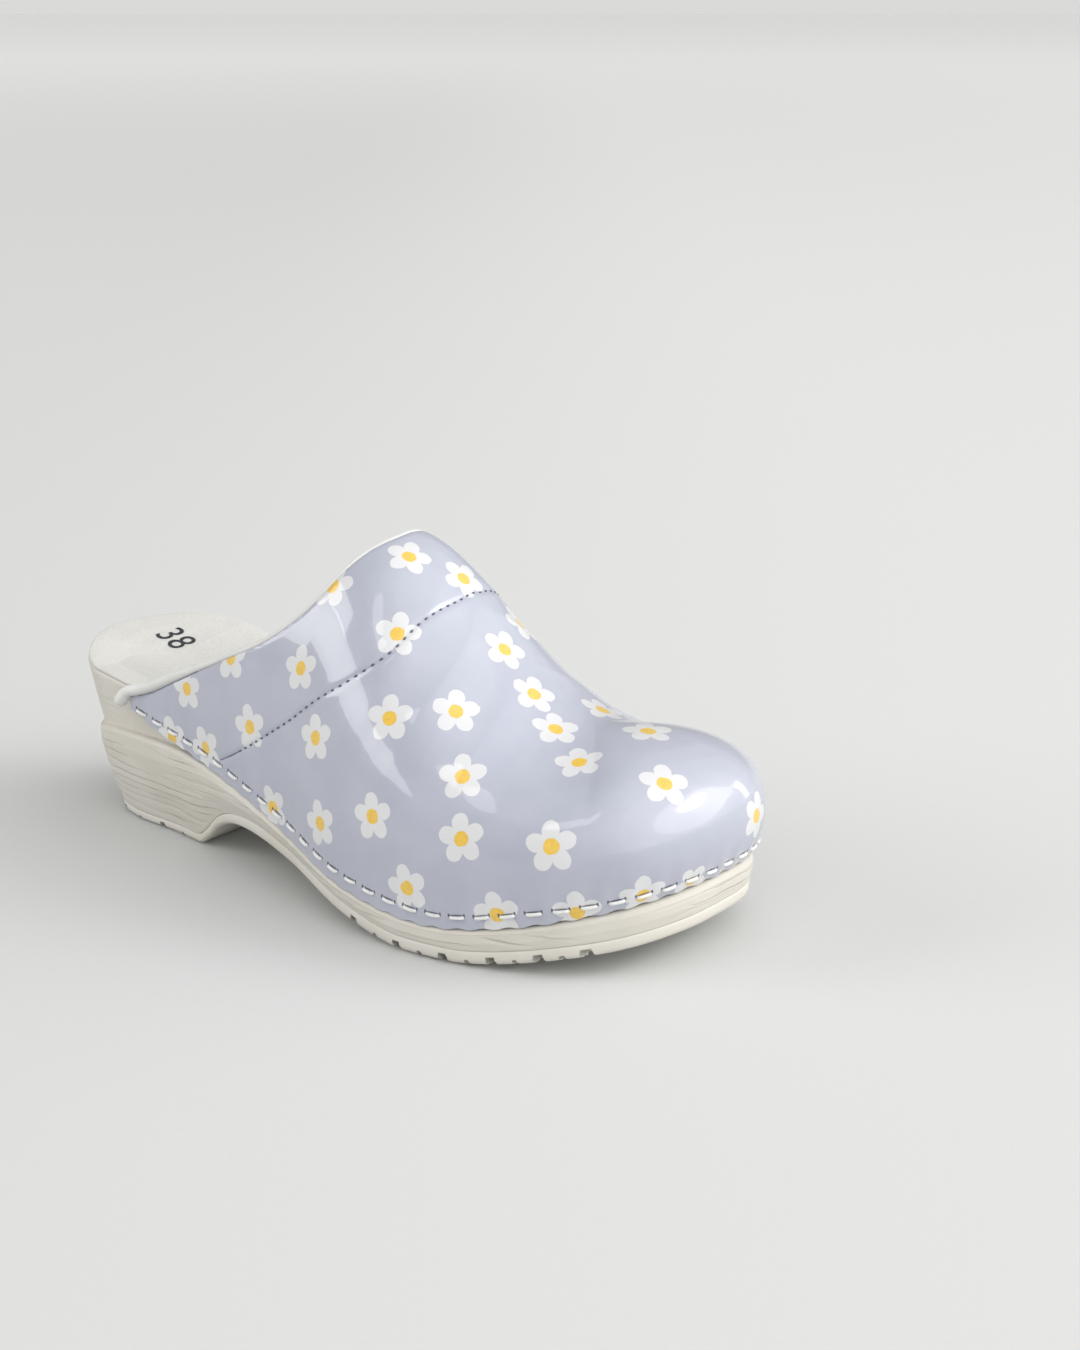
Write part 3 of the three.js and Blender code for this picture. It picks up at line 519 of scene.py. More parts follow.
# ---- material helpers
class Look:
    """A material's node tree, with one Principled shader."""

    def __init__(self, name, **settings):
        self.material = bpy.data.materials.new(name)
        self.material.use_nodes = True
        self.tree = self.material.node_tree
        self.shader = self.tree.nodes["Principled BSDF"]
        self.set(self.shader, settings)

    def set(self, node, settings):
        """Links or sets a node's sockets by name, with _ for a space, or by number."""
        for key, value in settings.items():
            socket = node.inputs[key.replace("_", " ") if isinstance(key, str) else key]
            if isinstance(value, bpy.types.NodeSocket):
                self.tree.links.new(value, socket)
            else:
                socket.default_value = value

    def node(self, kind, inputs=None, **options):
        node = self.tree.nodes.new("ShaderNode" + kind)
        for key, value in options.items():
            setattr(node, key, value)
        self.set(node, inputs or {})
        return node

    def finish(self, colour, normal, **settings):
        self.set(self.shader, {"Base Color": colour, "Normal": normal, **settings})
        return self

    def math(self, operation, a, b=0.0, c=0.0):
        return self.node("Math", {0: a, 1: b, 2: c}, operation=operation).outputs[0]

    def times(self, a, b):
        return self.math("MULTIPLY", a, b)

    def plus(self, a, b):
        return self.math("ADD", a, b)

    def minus(self, a, b):
        return self.math("SUBTRACT", a, b)

    def step(self, value, low, high):
        """0 below low and 1 above high, smooth between; low may be above high."""
        inputs = {0: value, 1: low, 2: high}
        return self.node("MapRange", inputs, interpolation_type="SMOOTHSTEP").outputs[0]

    def mix(self, share, a, b):
        """Colour a where share is 0 and b where it is 1."""
        return self.node("Mix", {0: share, 6: a, 7: b}, data_type="RGBA").outputs[2]

    def places(self):
        return self.node("TexCoord").outputs["Object"]

    def stretched(self, scale):
        return self.node("Mapping", {"Vector": self.places(), "Scale": scale}).outputs[0]

    def noise(self, scale, detail=2.0, roughness=0.5, where=None):
        return self.node("TexNoise", {
            "Vector": where or self.places(), "Scale": scale, "Detail": detail,
            "Roughness": roughness,
        }).outputs["Fac"]

    def cells(self, scale):
        inputs = {"Vector": self.places(), "Scale": scale}
        return self.node("TexVoronoi", inputs).outputs["Distance"]

    def attribute(self, name, output="Fac"):
        return self.node("Attribute", attribute_name=name).outputs[output]

    def local_place(self, name):
        """The two flat coordinates, in millimetres, that store_local_places stored."""
        split = self.node("SeparateXYZ", {0: self.attribute(name, "Vector")})
        return split.outputs[0], split.outputs[1]

    def bump(self, height, distance, strength, below=None):
        """A normal from a height; distance is in millimetres, below is a coarser normal."""
        inputs = {"Height": height, "Distance": distance / 1000, "Strength": strength}
        if below is not None:
            inputs["Normal"] = below
        return self.node("Bump", inputs).outputs[0]


def linear(red, green, blue):
    """A colour from its 0 to 255 screen values."""
    def one(v):
        v = v / 255
        return v / 12.92 if v <= 0.04045 else ((v + 0.055) / 1.055) ** 2.4

    return (one(red), one(green), one(blue), 1.0)


def shaded(colour, *factors):
    """A colour with its three parts multiplied by one factor or by one factor each."""
    return tuple(c * k for c, k in zip(colour, factors * (3 // len(factors)))) + (1.0,)


def dress(piece, look, replaces=()):
    piece.data.materials.append(look.material)
    if replaces:
        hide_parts(*replaces)


# ---- camera (degrees, metres, and the lens in mm)
CAMERA_AZIMUTH = 38.16
CAMERA_ELEVATION = 17.26
CAMERA_DISTANCE = 0.801
CAMERA_TARGET = Vector((-0.00986, 0.09405, 0.040))
CAMERA_LENS = 59.5


def direction(azimuth, elevation):
    """Unit vector from the shoe, in degrees: azimuth 0 is its outer side and 90 its toe."""
    a, e = math.radians(azimuth), math.radians(elevation)
    return Vector((math.sin(a) * math.cos(e), -math.cos(a) * math.cos(e), math.sin(e)))


def add_aimed(name, data, way):
    """Adds a camera or a light that looks against the direction way."""
    thing = add_object(name, data)
    thing.rotation_euler = (-way).to_track_quat("-Z", "Y").to_euler()
    return thing


def make_camera():
    data = bpy.data.cameras.new("camera")
    data.sensor_width = 36
    data.lens = CAMERA_LENS
    data.clip_start = 0.05
    data.clip_end = 20
    back = direction(CAMERA_AZIMUTH, CAMERA_ELEVATION)
    camera = add_aimed("camera", data, back)
    camera.location = CAMERA_TARGET + back * CAMERA_DISTANCE
    bpy.context.scene.camera = camera


make_camera()

# ---- the daisy print
# Each flower on a side is (share, t, turn, size): its place on the leather, how many degrees it is
# turned clockwise, and its size as a share of the usual one, which is left out where it is 1.
DAISIES = {
    -1: [
        (0.409, 0.894, 22, 0.98), (0.353, 0.669, 5), (0.443, 0.695, 9), (0.344, 0.443, -1, 0.98),
        (0.123, 0.22, 1, 0.96), (0.21, 0.367, 0), (0.259, 0.23, -4), (0.395, 0.325, -1),
        (0.487, 0.531, -2), (0.55, 0.713, 6), (0.574, 0.974, 28), (0.643, 0.95, 24),
        (0.704, 0.902, 9), (0.996, 0.936, 1, 1.06), (0.771, 0.804, -14), (0.608, 0.575, -4),
        (0.909, 0.631, 9, 1.04), (0.763, 0.411, -6, 1.06), (0.643, 0.377, -7, 1.02),
        (0.513, 0.279, -4), (0.422, 0.146, -7), (0.31, 0.056, -16), (0.578, 0.134, -10),
        (0.701, 0.084, -9), (0.796, 0.05, -7), (0.87, 0.075, -16), (0.935, 0.06, 20, 0.8),
        (0.162, 0.072, -14), (0.086, 0.016, -5),
    ],
    1: [
        (0.48, 0.984, -27), (0.506, 0.822, 8), (0.712, 0.896, 33), (0.95, 0.303, 10),
        (0.35, 0.76, 12), (0.42, 0.62, -8), (0.32, 0.52, 6), (0.235, 0.35, -12), (0.13, 0.19, 8),
        (0.06, 0.06, -6), (0.18, 0.12, 15), (0.29, 0.19, -10), (0.375, 0.36, 4), (0.4, 0.11, 0),
        (0.48, 0.27, 14), (0.52, 0.48, -6), (0.58, 0.66, 8), (0.51, 0.09, -12), (0.59, 0.25, 5),
        (0.64, 0.46, -9), (0.64, 0.08, 12), (0.72, 0.26, -4), (0.745, 0.52, 9), (0.77, 0.08, -8),
        (0.8, 0.72, -10), (0.84, 0.3, 6), (0.86, 0.52, 3), (0.885, 0.08, 14),
    ],
}
PETAL_UP = np.array([-0.18, 0.23, 0.96])   # a flower's first petal points this way over the leather
PETAL_CENTRE = 4.4
PETAL_LENGTH = 3.0
PETAL_WIDTH = 2.6
EYE_RADIUS = 2.3


def store_local_places(piece, name, centre, right, up, size):
    """Stores each face corner's place, in mm in the flat coordinates of the face's nearest centre.

    right and up are the directions of those coordinates and size their scale, one per centre."""
    mesh = piece.data

    def read(items, value, array):
        items.foreach_get(value, array)
        return array

    place = read(mesh.vertices, "co", np.empty(len(mesh.vertices) * 3))
    place = place.reshape(-1, 3) * 1000 + ORIGIN
    corner = read(mesh.loops, "vertex_index", np.empty(len(mesh.loops), int))
    corners = read(mesh.polygons, "loop_total", np.empty(len(mesh.polygons), int))
    face = np.repeat(np.arange(len(corners)), corners)
    middle = np.stack([np.bincount(face, place[corner, k]) / corners for k in range(3)], -1)
    nearest = distance_index(middle, centre)[face]

    away = place[corner] - centre[nearest]
    reach = np.linalg.norm(away, axis=-1)
    u = (away * right[nearest]).sum(-1)
    v = (away * up[nearest]).sum(-1)
    flat = np.hypot(u, v)
    stretch = np.where(flat < 0.05, 1, reach / np.maximum(flat, 1e-6)) / size[nearest]
    local = np.stack([u * stretch, v * stretch, 0 * u], -1)
    mesh.attributes.new(name, "FLOAT_VECTOR", "CORNER").data.foreach_set("vector", local.ravel())


def print_daisies(piece):
    flowers = [(side, *flower, 1.0)[:5] for side, some in DAISIES.items() for flower in some]
    centre = np.stack([leather(*flower[:3]) for flower in flowers])
    normal = np.stack([leather_normal(*flower[:3]) for flower in flowers])
    turn = np.radians([flower[3] for flower in flowers])[:, None]
    size = np.array([flower[4] for flower in flowers])
    up = unit(PETAL_UP - normal * (normal @ PETAL_UP)[:, None])
    right = np.cross(up, normal)
    up, right = up * np.cos(turn) + right * np.sin(turn), right * np.cos(turn) - up * np.sin(turn)
    store_local_places(piece, "daisy", centre, right, up, size)


def mark_staples(piece):
    # each face corner's place beside its nearest staple, for the painted staple shadow in the
    # leather's colour
    up = np.cross(STAPLE_OUTWARD, STAPLE_ALONG)
    up = up * np.sign(up[:, 2:])
    store_local_places(piece, "staple", STAPLE_CENTRE, STAPLE_ALONG, up, np.ones(STAPLE_COUNT))


def patent_leather():
    look = Look("patent_daisy_print", Roughness=0.34, Coat_Weight=1.0, Coat_Roughness=0.05,
                Specular_IOR_Level=0.45, Coat_IOR=1.52)
    cloud = look.noise(60, 3)
    shade, base = (0.354, 0.367, 0.436, 1), (0.378, 0.391, 0.461, 1)
    colour = look.mix(look.step(cloud, 0.35, 0.65), shade, base)
    colour = look.mix(look.times(look.noise(2600, 1), 0.12), colour, (0.48, 0.49, 0.56, 1))

    right, up = look.local_place("daisy")
    wobble = look.times(look.minus(look.noise(420, 1), 0.5), 0.7)
    radius = look.math("SQRT", look.plus(look.times(right, right), look.times(up, up)))
    radius = look.plus(radius, wobble)
    petal = 2 * math.pi / 5
    angle = look.math("WRAP", look.math("ARCTAN2", right, up), petal / 2, -petal / 2)
    across = look.math("DIVIDE", look.times(radius, look.math("SINE", angle)), PETAL_WIDTH)
    outward = look.minus(look.times(radius, look.math("COSINE", angle)), PETAL_CENTRE)
    outward = look.math("DIVIDE", outward, PETAL_LENGTH)
    oval = look.plus(look.times(across, across), look.times(outward, outward))
    white = look.mix(cloud, (0.575, 0.575, 0.585, 1), (0.62, 0.62, 0.63, 1))
    colour = look.mix(look.step(oval, 1.05, 0.93), colour, white)
    yolk = look.step(look.noise(900, 2), 0.3, 0.75)
    yolk = look.mix(yolk, (0.66, 0.42, 0.045, 1), (0.72, 0.47, 0.065, 1))
    colour = look.mix(look.step(radius, EYE_RADIUS + 0.12, EYE_RADIUS - 0.12), colour, yolk)
    # painted shade along the seam's groove and where the leather tucks under the roll at the rear
    colour = look.mix(look.times(look.attribute("crease_shade"), 0.4), colour, (0.09, 0.10, 0.14, 1))

    # painted shadow along each crown's upper edge, where the crown pinches the leather, and painted
    # shade in the holes where the crown's two ends go in
    along, above = look.local_place("staple")
    along = look.math("ABSOLUTE", along)
    above = look.math("ABSOLUTE", look.minus(above, 0.62))
    pinch_shadow = look.times(look.step(along, 2.9, 2.3), look.step(above, 0.42, 0.12))
    ends = look.math("ABSOLUTE", look.minus(along, 2.55))
    hole_shade = look.times(look.step(ends, 0.45, 0.15), look.step(above, 0.85, 0.35))
    dark = look.math("MAXIMUM", look.times(pinch_shadow, 0.75), hole_shade)
    colour = look.mix(dark, colour, (0.05, 0.055, 0.075, 1))
    orange_peel = look.bump(look.noise(230, 2), 0.03, 0.4)
    grain = look.bump(look.noise(1500, 2), 0.012, 0.5, orange_peel)
    return look.finish(colour, grain, Coat_Normal=orange_peel)


# ---- upper
def staple_phase(side, share):
    """Cosine that is 1 at each staple and -1 half way between two."""
    whole = np.linspace(0, 1, STAPLE_LINE_POINTS)
    total = STAPLE_LENGTH[-1]
    if side < 0:
        length = np.interp(share, whole, STAPLE_LENGTH[:STAPLE_LINE_POINTS])
    else:
        from_end = (total - STAPLE_LENGTH[STAPLE_LINE_POINTS - 1:])[::-1]
        length = total - np.interp(share, whole, from_end)
    return np.cos(2 * math.pi * (length - STAPLE_START) / STAPLE_PITCH)


def hill(distance, width, power=2):
    """1 at distance 0, falling smoothly to 0 over about twice the width."""
    return np.exp(-np.abs(distance / width) ** power)


def upper():
    share = np.concatenate([rear_shares(130, last=False), np.linspace(PEAK, 1, 230)])
    t = topline_t(share)[:, None] * np.linspace(0, 1, 150) ** 1.15
    sheets, crease_shades = [], []
    for side in (-1, 1):
        place = leather(side, share[:, None], t)
        normal = leather_normal(side, share[:, None], t)
        rim_x = rim(SIDE_U[side](share))[0][:, 0]
        height = place[..., 2] - staple_z(rim_x)[:, None]
        pull = staple_phase(side, share)[:, None]
        uneven = 0.75 + 0.35 * ripple(place, 17, 2)
        pucker = -PUCKER_DEPTH * (pull + 0.45) * hill(height, 4.6, 1.6) * uneven
        flute = -0.06 * pull * hill(height - 5, 7) * uneven
        to_seam = distance_to(place, SEAM_PATH)
        groove = SEAM_GROOVE * hill(to_seam, 0.7) - 0.03 * hill(to_seam - 2.2, 1.2)
        to_edge = distance_to(place, TOPLINE)
        tuck = EDGE_TUCK * hill(to_edge, 0.8)
        wave = 0.05 * ripple(place, 38, 5) + 0.008 * ripple(place, 9, 9)
        place = place + normal * (pucker + flute - groove - tuck + wave)[..., None]
        place[..., 2] += 0.25 * pull * hill(height + 4, 3)
        sheets.append(sheet(place, side))
        # painted shade for the leather's colour: darker along the seam's groove and, at the rear,
        # along the topline where the leather tucks under the roll
        rear = np.clip((92 - place[..., 0]) / 14, 0, 1)
        crease_shades.append((hill(to_seam, 0.5) * 0.45 + hill(to_edge, 0.35) * 0.4 * rear).ravel())
    joined, kept, first = merged(*join_parts(sheets))
    piece = make_piece("upper_leather", joined, kept)
    mark_points(piece, "crease_shade", np.clip(np.concatenate(crease_shades)[first], 0, 1))
    print_daisies(piece)
    mark_staples(piece)
    thicken(piece, LEATHER - 0.1, 0.45)
    dress(piece, patent_leather(), ["upper"])


# ---- rolled collar edge
def soft_white_leather(name, colour, roughness=0.55):
    look = Look(name, Roughness=roughness, Sheen_Weight=0.08)
    cloud = look.step(look.noise(90, 3), 0.3, 0.7)
    waves = look.bump(look.noise(260, 3), 0.12, 0.5)
    return look.finish(look.mix(cloud, shaded(colour, 0.92), colour),
                       look.bump(look.cells(1500), 0.05, 0.6, waves))


def roll_path():
    """The roll's centre line: beside the topline, with each end turned down and back."""
    x = TOPLINE[:, 0]
    lift, depth = roll_lift(x)[:, None], roll_depth(x)[:, None]
    path = TOPLINE + TOPLINE_ACROSS * lift - TOPLINE_NORMAL * depth

    def turn(p):
        steps = np.linspace(1, 0, 7, endpoint=False)[:, None]
        back, out, down = ROLL_END
        side = math.copysign(1, p[1])
        return p + np.array([-back, out * side, -down]) * steps ** np.array([1.0, 1.0, 1.3])

    path = np.concatenate([turn(path[0]), path, turn(path[-1])[::-1]])
    length = line_lengths(path)
    return smooth(resample(np.linspace(0, length[-1], 420), length, path), 6)


ROLL_PATH = roll_path()


def rolled_edge():
    length = line_lengths(ROLL_PATH)
    from_end = np.minimum(length, length[-1] - length)
    bulb = np.sqrt(np.clip(1 - (1 - np.minimum(from_end / ROLL_RADIUS, 1)) ** 2, 0.02, 1))
    swell = 1 + 0.24 * hill(from_end - 2.5, 3.5)
    radius = roll_radius(ROLL_PATH[:, 0]) * bulb * swell
    puckered = 1 + 0.025 * np.sin(length * 1.9) * (0.5 + 0.5 * np.sin(length * 0.23))
    piece = make_piece("collar_roll", *tube(ROLL_PATH, radius * puckered, 28))
    look = soft_white_leather("roll_leather", (0.63, 0.628, 0.61, 1))
    dress(piece, look, ["topline_piping"])


def roll_seam():
    """A dark thread in the groove below the roll, seen along the roll's thick rear ends; its
    darkness also paints the shadow in that groove.
    """
    path = TOPLINE + TOPLINE_ACROSS * 0.05 - TOPLINE_NORMAL * 0.35
    rear = int(np.argmax(TOPLINE[:, 0] > ROLL_SEAM_END_X))
    ends = [tube(part, 0.2, 8) for part in (path[4:rear], path[-rear:-4])]
    piece = make_piece("collar_roll_seam", *join_parts(ends))
    dress(piece, thread_look("roll_thread", linear(104, 108, 122)))


# ---- stitches
def thread_look(name, colour):
    look = Look(name, Roughness=0.6, Sheen_Weight=0.2)
    inputs = {"Vector": look.places(), "Scale": 900.0, "Distortion": 3.0}
    twist = look.node("TexWave", inputs).outputs["Fac"]
    return look.finish(look.mix(look.times(twist, 0.5), colour, shaded(colour, 1.6)),
                       look.bump(twist, 0.05, 0.7))


def stitches():
    """Separate stitches across the instep and a plain thread at both ends of the seam."""
    length = line_lengths(SEAM_PATH)[-1]
    bend = np.linspace(-1, 1, 9)
    arch = 0.12 * (1 - bend**2) - 0.32
    thick = STITCH_RADIUS * np.sqrt(np.clip(1 - bend**2, 0.03, 1)) ** 0.6
    marks = np.arange(SEAM_ENDS, length - SEAM_ENDS, STITCH_PITCH)
    centres, tangents = along_line(SEAM_PATH, marks)
    parts = []
    for centre, along, k in zip(centres, tangents, distance_index(centres, SEAM_PATH)):
        reach = (bend * STITCH_HALF_LENGTH)[:, None]
        parts.append(tube(centre + along * reach + SEAM_NORMAL[k] * arch[:, None], thick, 8))
    for ends in ((0, SEAM_ENDS), (length - SEAM_ENDS, length)):
        line, _ = along_line(SEAM_PATH, np.linspace(*ends, 30))
        sunk = SEAM_NORMAL[distance_index(line, SEAM_PATH)] * 0.35
        parts.append(tube(line - sunk, 0.22, 8))
    piece = make_piece("collar_stitches", *join_parts(parts))
    look = thread_look("seam_thread", linear(70, 78, 95))
    dress(piece, look, ["collar_stitching"])


# ---- staples
def staple_shape():
    """Centre line of one staple, as (along, depth) pairs: leg, corner, crown, corner, leg."""
    half = (STAPLE_CROWN - STAPLE_WIRE) / 2
    bend = 0.8
    corner = [(half - bend + bend * math.sin(a), bend - bend * math.cos(a))
              for a in np.radians([0, 22, 45, 68, 90])]
    right = [(half * 0.4, -0.05), *corner, (half, 2.0), (half, 3.6)]
    return np.array([(-a, d) for a, d in reversed(right)] + [(0, -0.08)] + right)


def staples():
    shape = staple_shape()
    third = round(STAPLE_COUNT * 0.38)
    groups = {
        "lateral": range(third), "toe": range(third, STAPLE_COUNT - third),
        "medial": range(STAPLE_COUNT - third, STAPLE_COUNT),
    }
    look = staple_lacquer()
    for place, members in groups.items():
        parts = []
        for k in members:
            proud = 0.28 + 0.08 * math.sin(3.1 * k)
            line = STAPLE_CENTRE[k] + STAPLE_ALONG[k] * shape[:, :1]
            line = line + STAPLE_OUTWARD[k] * (proud - shape[:, 1:])
            parts.append(tube(line, STAPLE_WIRE / 2, 12))
        piece = make_piece(f"staple_row_{place}", *join_parts(parts))
        dress(piece, look, [f"staples_{place}"])


def staple_lacquer():
    look = Look("white_lacquered_wire", Roughness=0.28, Coat_Weight=0.5, Coat_Roughness=0.1)
    worn = look.times(look.step(look.noise(700, 3), 0.60, 0.72), 0.35)
    return look.finish(look.mix(worn, (0.66, 0.66, 0.65, 1), (0.36, 0.365, 0.375, 1)),
                       look.bump(look.noise(1200, 2), 0.03, 0.5))


# ---- sole
def ring_u(count, extra_x=()):
    """u once round the outline, at the same x on both sides, with more stations at extra_x."""
    outer = np.linspace(0, 0.5, count)
    fine = np.linspace(0, 0.5, 6000)
    if len(extra_x):
        more = np.interp(extra_x, rim_point(fine)[:, 0], fine)
        outer = np.unique(np.concatenate([outer, more]))
    inner = 1 - np.interp(rim_point(outer)[:, 0], rim_point(1 - fine)[:, 0], fine)
    return np.concatenate([outer, inner[-2:0:-1]])


def ring(u, offset, height):
    """Points round the shoe, offset(x) outside the outline and at z = height(x, lift).

    lift is how far the heel cup raises the rim there."""
    point, out = rim(u)
    x = point[:, 0]
    lift = np.where((u % 1) <= 0.5, outer_lift(x), inner_lift(x))
    placed = point + out * np.broadcast_to(offset(x), x.shape)[:, None]
    placed[:, 2] = height(x, lift)
    return placed


def loft(rings):
    """Quads between rings of equal size, and strips across the first and last ring."""
    count = len(rings[0])
    faces = []
    for low in range(0, (len(rings) - 1) * count, count):
        i = np.arange(count)
        j = (i + 1) % count
        high = low + count
        faces.append(np.stack([low + i, low + j, high + j, high + i], -1))
    faces = np.concatenate(faces).tolist()
    for start, up in ((0, False), ((len(rings) - 1) * count, True)):
        for i in range(count // 2):
            strip = [i, i + 1, (count - i - 1) % count, (count - i) % count]
            strip = [k + start for k in dict.fromkeys(strip)]
            if len(strip) > 2:
                faces.append(strip if up else strip[::-1])
    return np.concatenate(rings), faces


def between(first, last, count):
    """Rings evenly spaced between two rings, the last one left out."""
    return [first + (last - first) * s for s in np.linspace(0, 1, count, endpoint=False)]


def wood_grain(length, z):
    """0 to 1: how deep an embossed grain furrow is at a place on the sole's side wall."""
    place = np.stack([length, z * 2.2, 0 * z], -1)
    lines = z / 5.2 + 0.55 * ripple(place, 44, 3) + 0.12 * ripple(place, 13, 7)
    shown = np.clip(0.35 + 1.3 * ripple(place, 26, 12), 0, 1)
    return hill(lines - np.round(lines), 0.10) * shown


def sole_body():
    u = ring_u(620)
    length = line_lengths(rim_point(u))

    def floor(x):
        return tread_z(x) + outsole_thickness(x) + 0.05

    def over_floor(rise):
        return lambda x, lift: floor(x) + rise

    def wall(share, belly=0.0):
        return lambda x: (-base_inset(x) * (1 - share)
                          + (ledge_step(x) - ledge_inset(x)) * share + belly)

    def up_wall(share, drop=0.0):
        return lambda x, lift: floor(x) * (1 - share) + ledge_z(x) * share - drop

    def inside(share, inset):
        return lambda x: -ledge_inset(x) * share - inset

    def rim_edge(drop):
        return lambda x, lift: rim_z(x) + lift - drop

    def half_way(x, lift):
        return (ledge_z(x) + rim_z(x) + lift) / 2

    # each line gives a ring's offset and height and how many rings lead up to the next line's
    keys = [
        (wall(0, -0.6), over_floor(0), 2),
        (wall(0, -0.15), over_floor(0.1), 2),
        (wall(0, 0.1), over_floor(0.6), 20),
        (wall(0.55, 0.45), up_wall(0.42), 18),
        (wall(0.92, 0.45), up_wall(0.8), 9),
        (wall(1), up_wall(1, 1.3), 3),
        (wall(1, -0.25), up_wall(1, 0.5), 3),
        (wall(1, -0.9), up_wall(1), 3),
        (inside(1, 0.75), up_wall(1, -0.2), 2),
        (inside(1, 0.85), up_wall(1, -1.2), 9),
        (inside(0.45, 0.7), half_way, 9),
        (inside(0, 0.6), rim_edge(1.6), 2),
        (inside(0, 0.8), rim_edge(0.9), 2),
        (inside(0, 1.3), rim_edge(0.6), 2),
        (inside(0, RIM_WIDTH), rim_edge(0.7), 1),
        (inside(0, RIM_WIDTH + 0.1), rim_edge(4), 1),
    ]
    made = [ring(u, offset, height) for offset, height, _ in keys]
    rings = []
    for first, last, (_, _, count) in zip(made, made[1:], keys):
        rings += between(first, last, count)
    rings.append(made[-1])

    _, out = rim(u)
    grain = []
    x = rim_point(u)[:, 0]
    low, high = floor(x) + 1.2, ledge_z(x) - 1.6
    for points in rings:
        z = points[:, 2]
        side = np.clip((z - low) / 1.5, 0, 1) * np.clip((high - z) / 1.5, 0, 1)
        below_rim = np.clip((rim_z(x) - 2 - z) / 2, 0, 1)
        above = 0.35 * np.clip((z - ledge_z(x) - 3) / 2, 0, 1) * below_rim
        relief = 0.10 * ripple(points, 30, 4) - GRAIN_DEPTH * wood_grain(length, z)
        points[:] = points + out * (relief * (side + above))[:, None]
        grain.append(np.clip(side + above, 0, 1))
    piece = make_piece("sole_unit", *loft(rings))
    mark_points(piece, "grooves", np.concatenate(grain))
    sharpen(piece, 50)
    look = moulded_look("moulded_sole", (0.588, 0.565, 0.516, 1), grain=True)
    dress(piece, look, ["sole_body"])


def moulded_look(name, colour, grain=False):
    """Off-white moulding; "grooves" is painted shade inside the tread's notches or, with grain,
    where the sole's grain shows.
    """
    look = Look(name, Roughness=0.52, Specular_IOR_Level=0.4)
    warm = shaded(colour, 0.93, 0.92, 0.89)
    mottled = look.mix(look.step(look.noise(45, 4), 0.3, 0.72), warm, colour)
    fibre = look.noise(150, 5, 0.6, look.stretched((1.0, 1.0, 5.0)))
    mottled = look.mix(look.times(look.step(fibre, 0.45, 0.7), 0.18), mottled, warm)
    skin = look.bump(fibre, 0.10, 0.5, look.bump(look.noise(1400, 3), 0.03, 0.6))
    grooves = look.attribute("grooves")
    if grain:
        along = look.stretched((0.45, 0.45, 1.0))
        bands = look.node("TexWave", {
            "Vector": along, "Scale": 104.0, "Distortion": 9.0, "Detail": 4.0, "Detail Scale": 0.6,
        }, bands_direction="Z").outputs["Fac"]
        shown = look.step(look.noise(70, 2, 0.5, along), 0.40, 0.62)
        grooves = look.times(look.times(look.step(bands, 0.84, 1.0), shown), grooves)
        skin = look.bump(look.minus(1.0, grooves), 0.30, 0.8, skin)
        grooves = look.times(grooves, 0.15)
    # the mix towards a dark copy of the colour: painted shade in the tread's notches, and darker
    # grain lines on the sole
    return look.finish(look.mix(grooves, mottled, shaded(colour, 0.3)), skin)


# the tread's grooves as (middle, width, depth): five under the heel and eleven under the forefoot
TREAD_GROOVES = [(x, *((3.0, 2.3) if i % 2 else (1.9, 1.6)))
                 for i, x in enumerate((20, 31, 42, 54, 65))]
TREAD_GROOVES += [(166 + 9.6 * i - 0.2 * i * i, *((2.0, 2.1) if i % 2 else (3.4, 3.2)))
                  for i in range(11)]


def groove_depth(x):
    """How far a groove lifts the tread's underside at x."""
    lifted = np.zeros_like(x)
    for middle, width, depth in TREAD_GROOVES:
        lifted = np.maximum(lifted, depth * np.clip((width / 2 - np.abs(x - middle)) / 0.45, 0, 1))
    return lifted


def outsole():
    notches = [np.linspace(x - w * 0.6, x + w * 0.6, 13) for x, w, _ in TREAD_GROOVES]
    u = ring_u(560, np.concatenate(notches))
    share = np.array([0, 0.06, 0.2, 0.38, 0.55, 0.7, 0.85, 0.95, 1.0])
    offset = np.array([-TREAD_CURL, -2.0, -0.7, -0.15, 0.0, 0.06, 0.04, -0.06, -0.3])

    # painted shade inside the tread's notches, stronger where a notch is deeper
    def notch_shade(depth):
        return np.clip(depth / 1.2, 0, 1)

    sheet = ring(u, lambda x: -base_inset(x) - TREAD_CURL - 4, lambda x, _: tread_z(x))
    depth = groove_depth(sheet[:, 0])
    sheet[:, 2] = tread_z(sheet[:, 0]) + depth
    rings, notch_shades = [sheet], [notch_shade(depth)]
    for part in np.linspace(0, 1, 21):
        inset = float(np.interp(part, share, offset))
        placed = ring(u, lambda x: -base_inset(x) + inset,
                      lambda x, _: tread_z(x) + part * outsole_thickness(x))
        depth = groove_depth(placed[:, 0])
        lifted = tread_z(placed[:, 0]) + depth
        notch_shades.append(notch_shade(depth) * np.clip((lifted + 0.25 - placed[:, 2]) / 0.25, 0, 1))
        placed[:, 2] = np.maximum(placed[:, 2], lifted)
        placed += 0.04 * ripple(placed, 14, 6)[:, None]
        placed[:, 2] = np.maximum(placed[:, 2], 0)
        rings.append(placed)
    piece = make_piece("tread", *loft(rings))
    mark_points(piece, "grooves", 0.75 * np.concatenate(notch_shades))
    sharpen(piece, 35)
    dress(piece, moulded_look("moulded_tread", (0.600, 0.580, 0.533, 1)), ["outsole"])


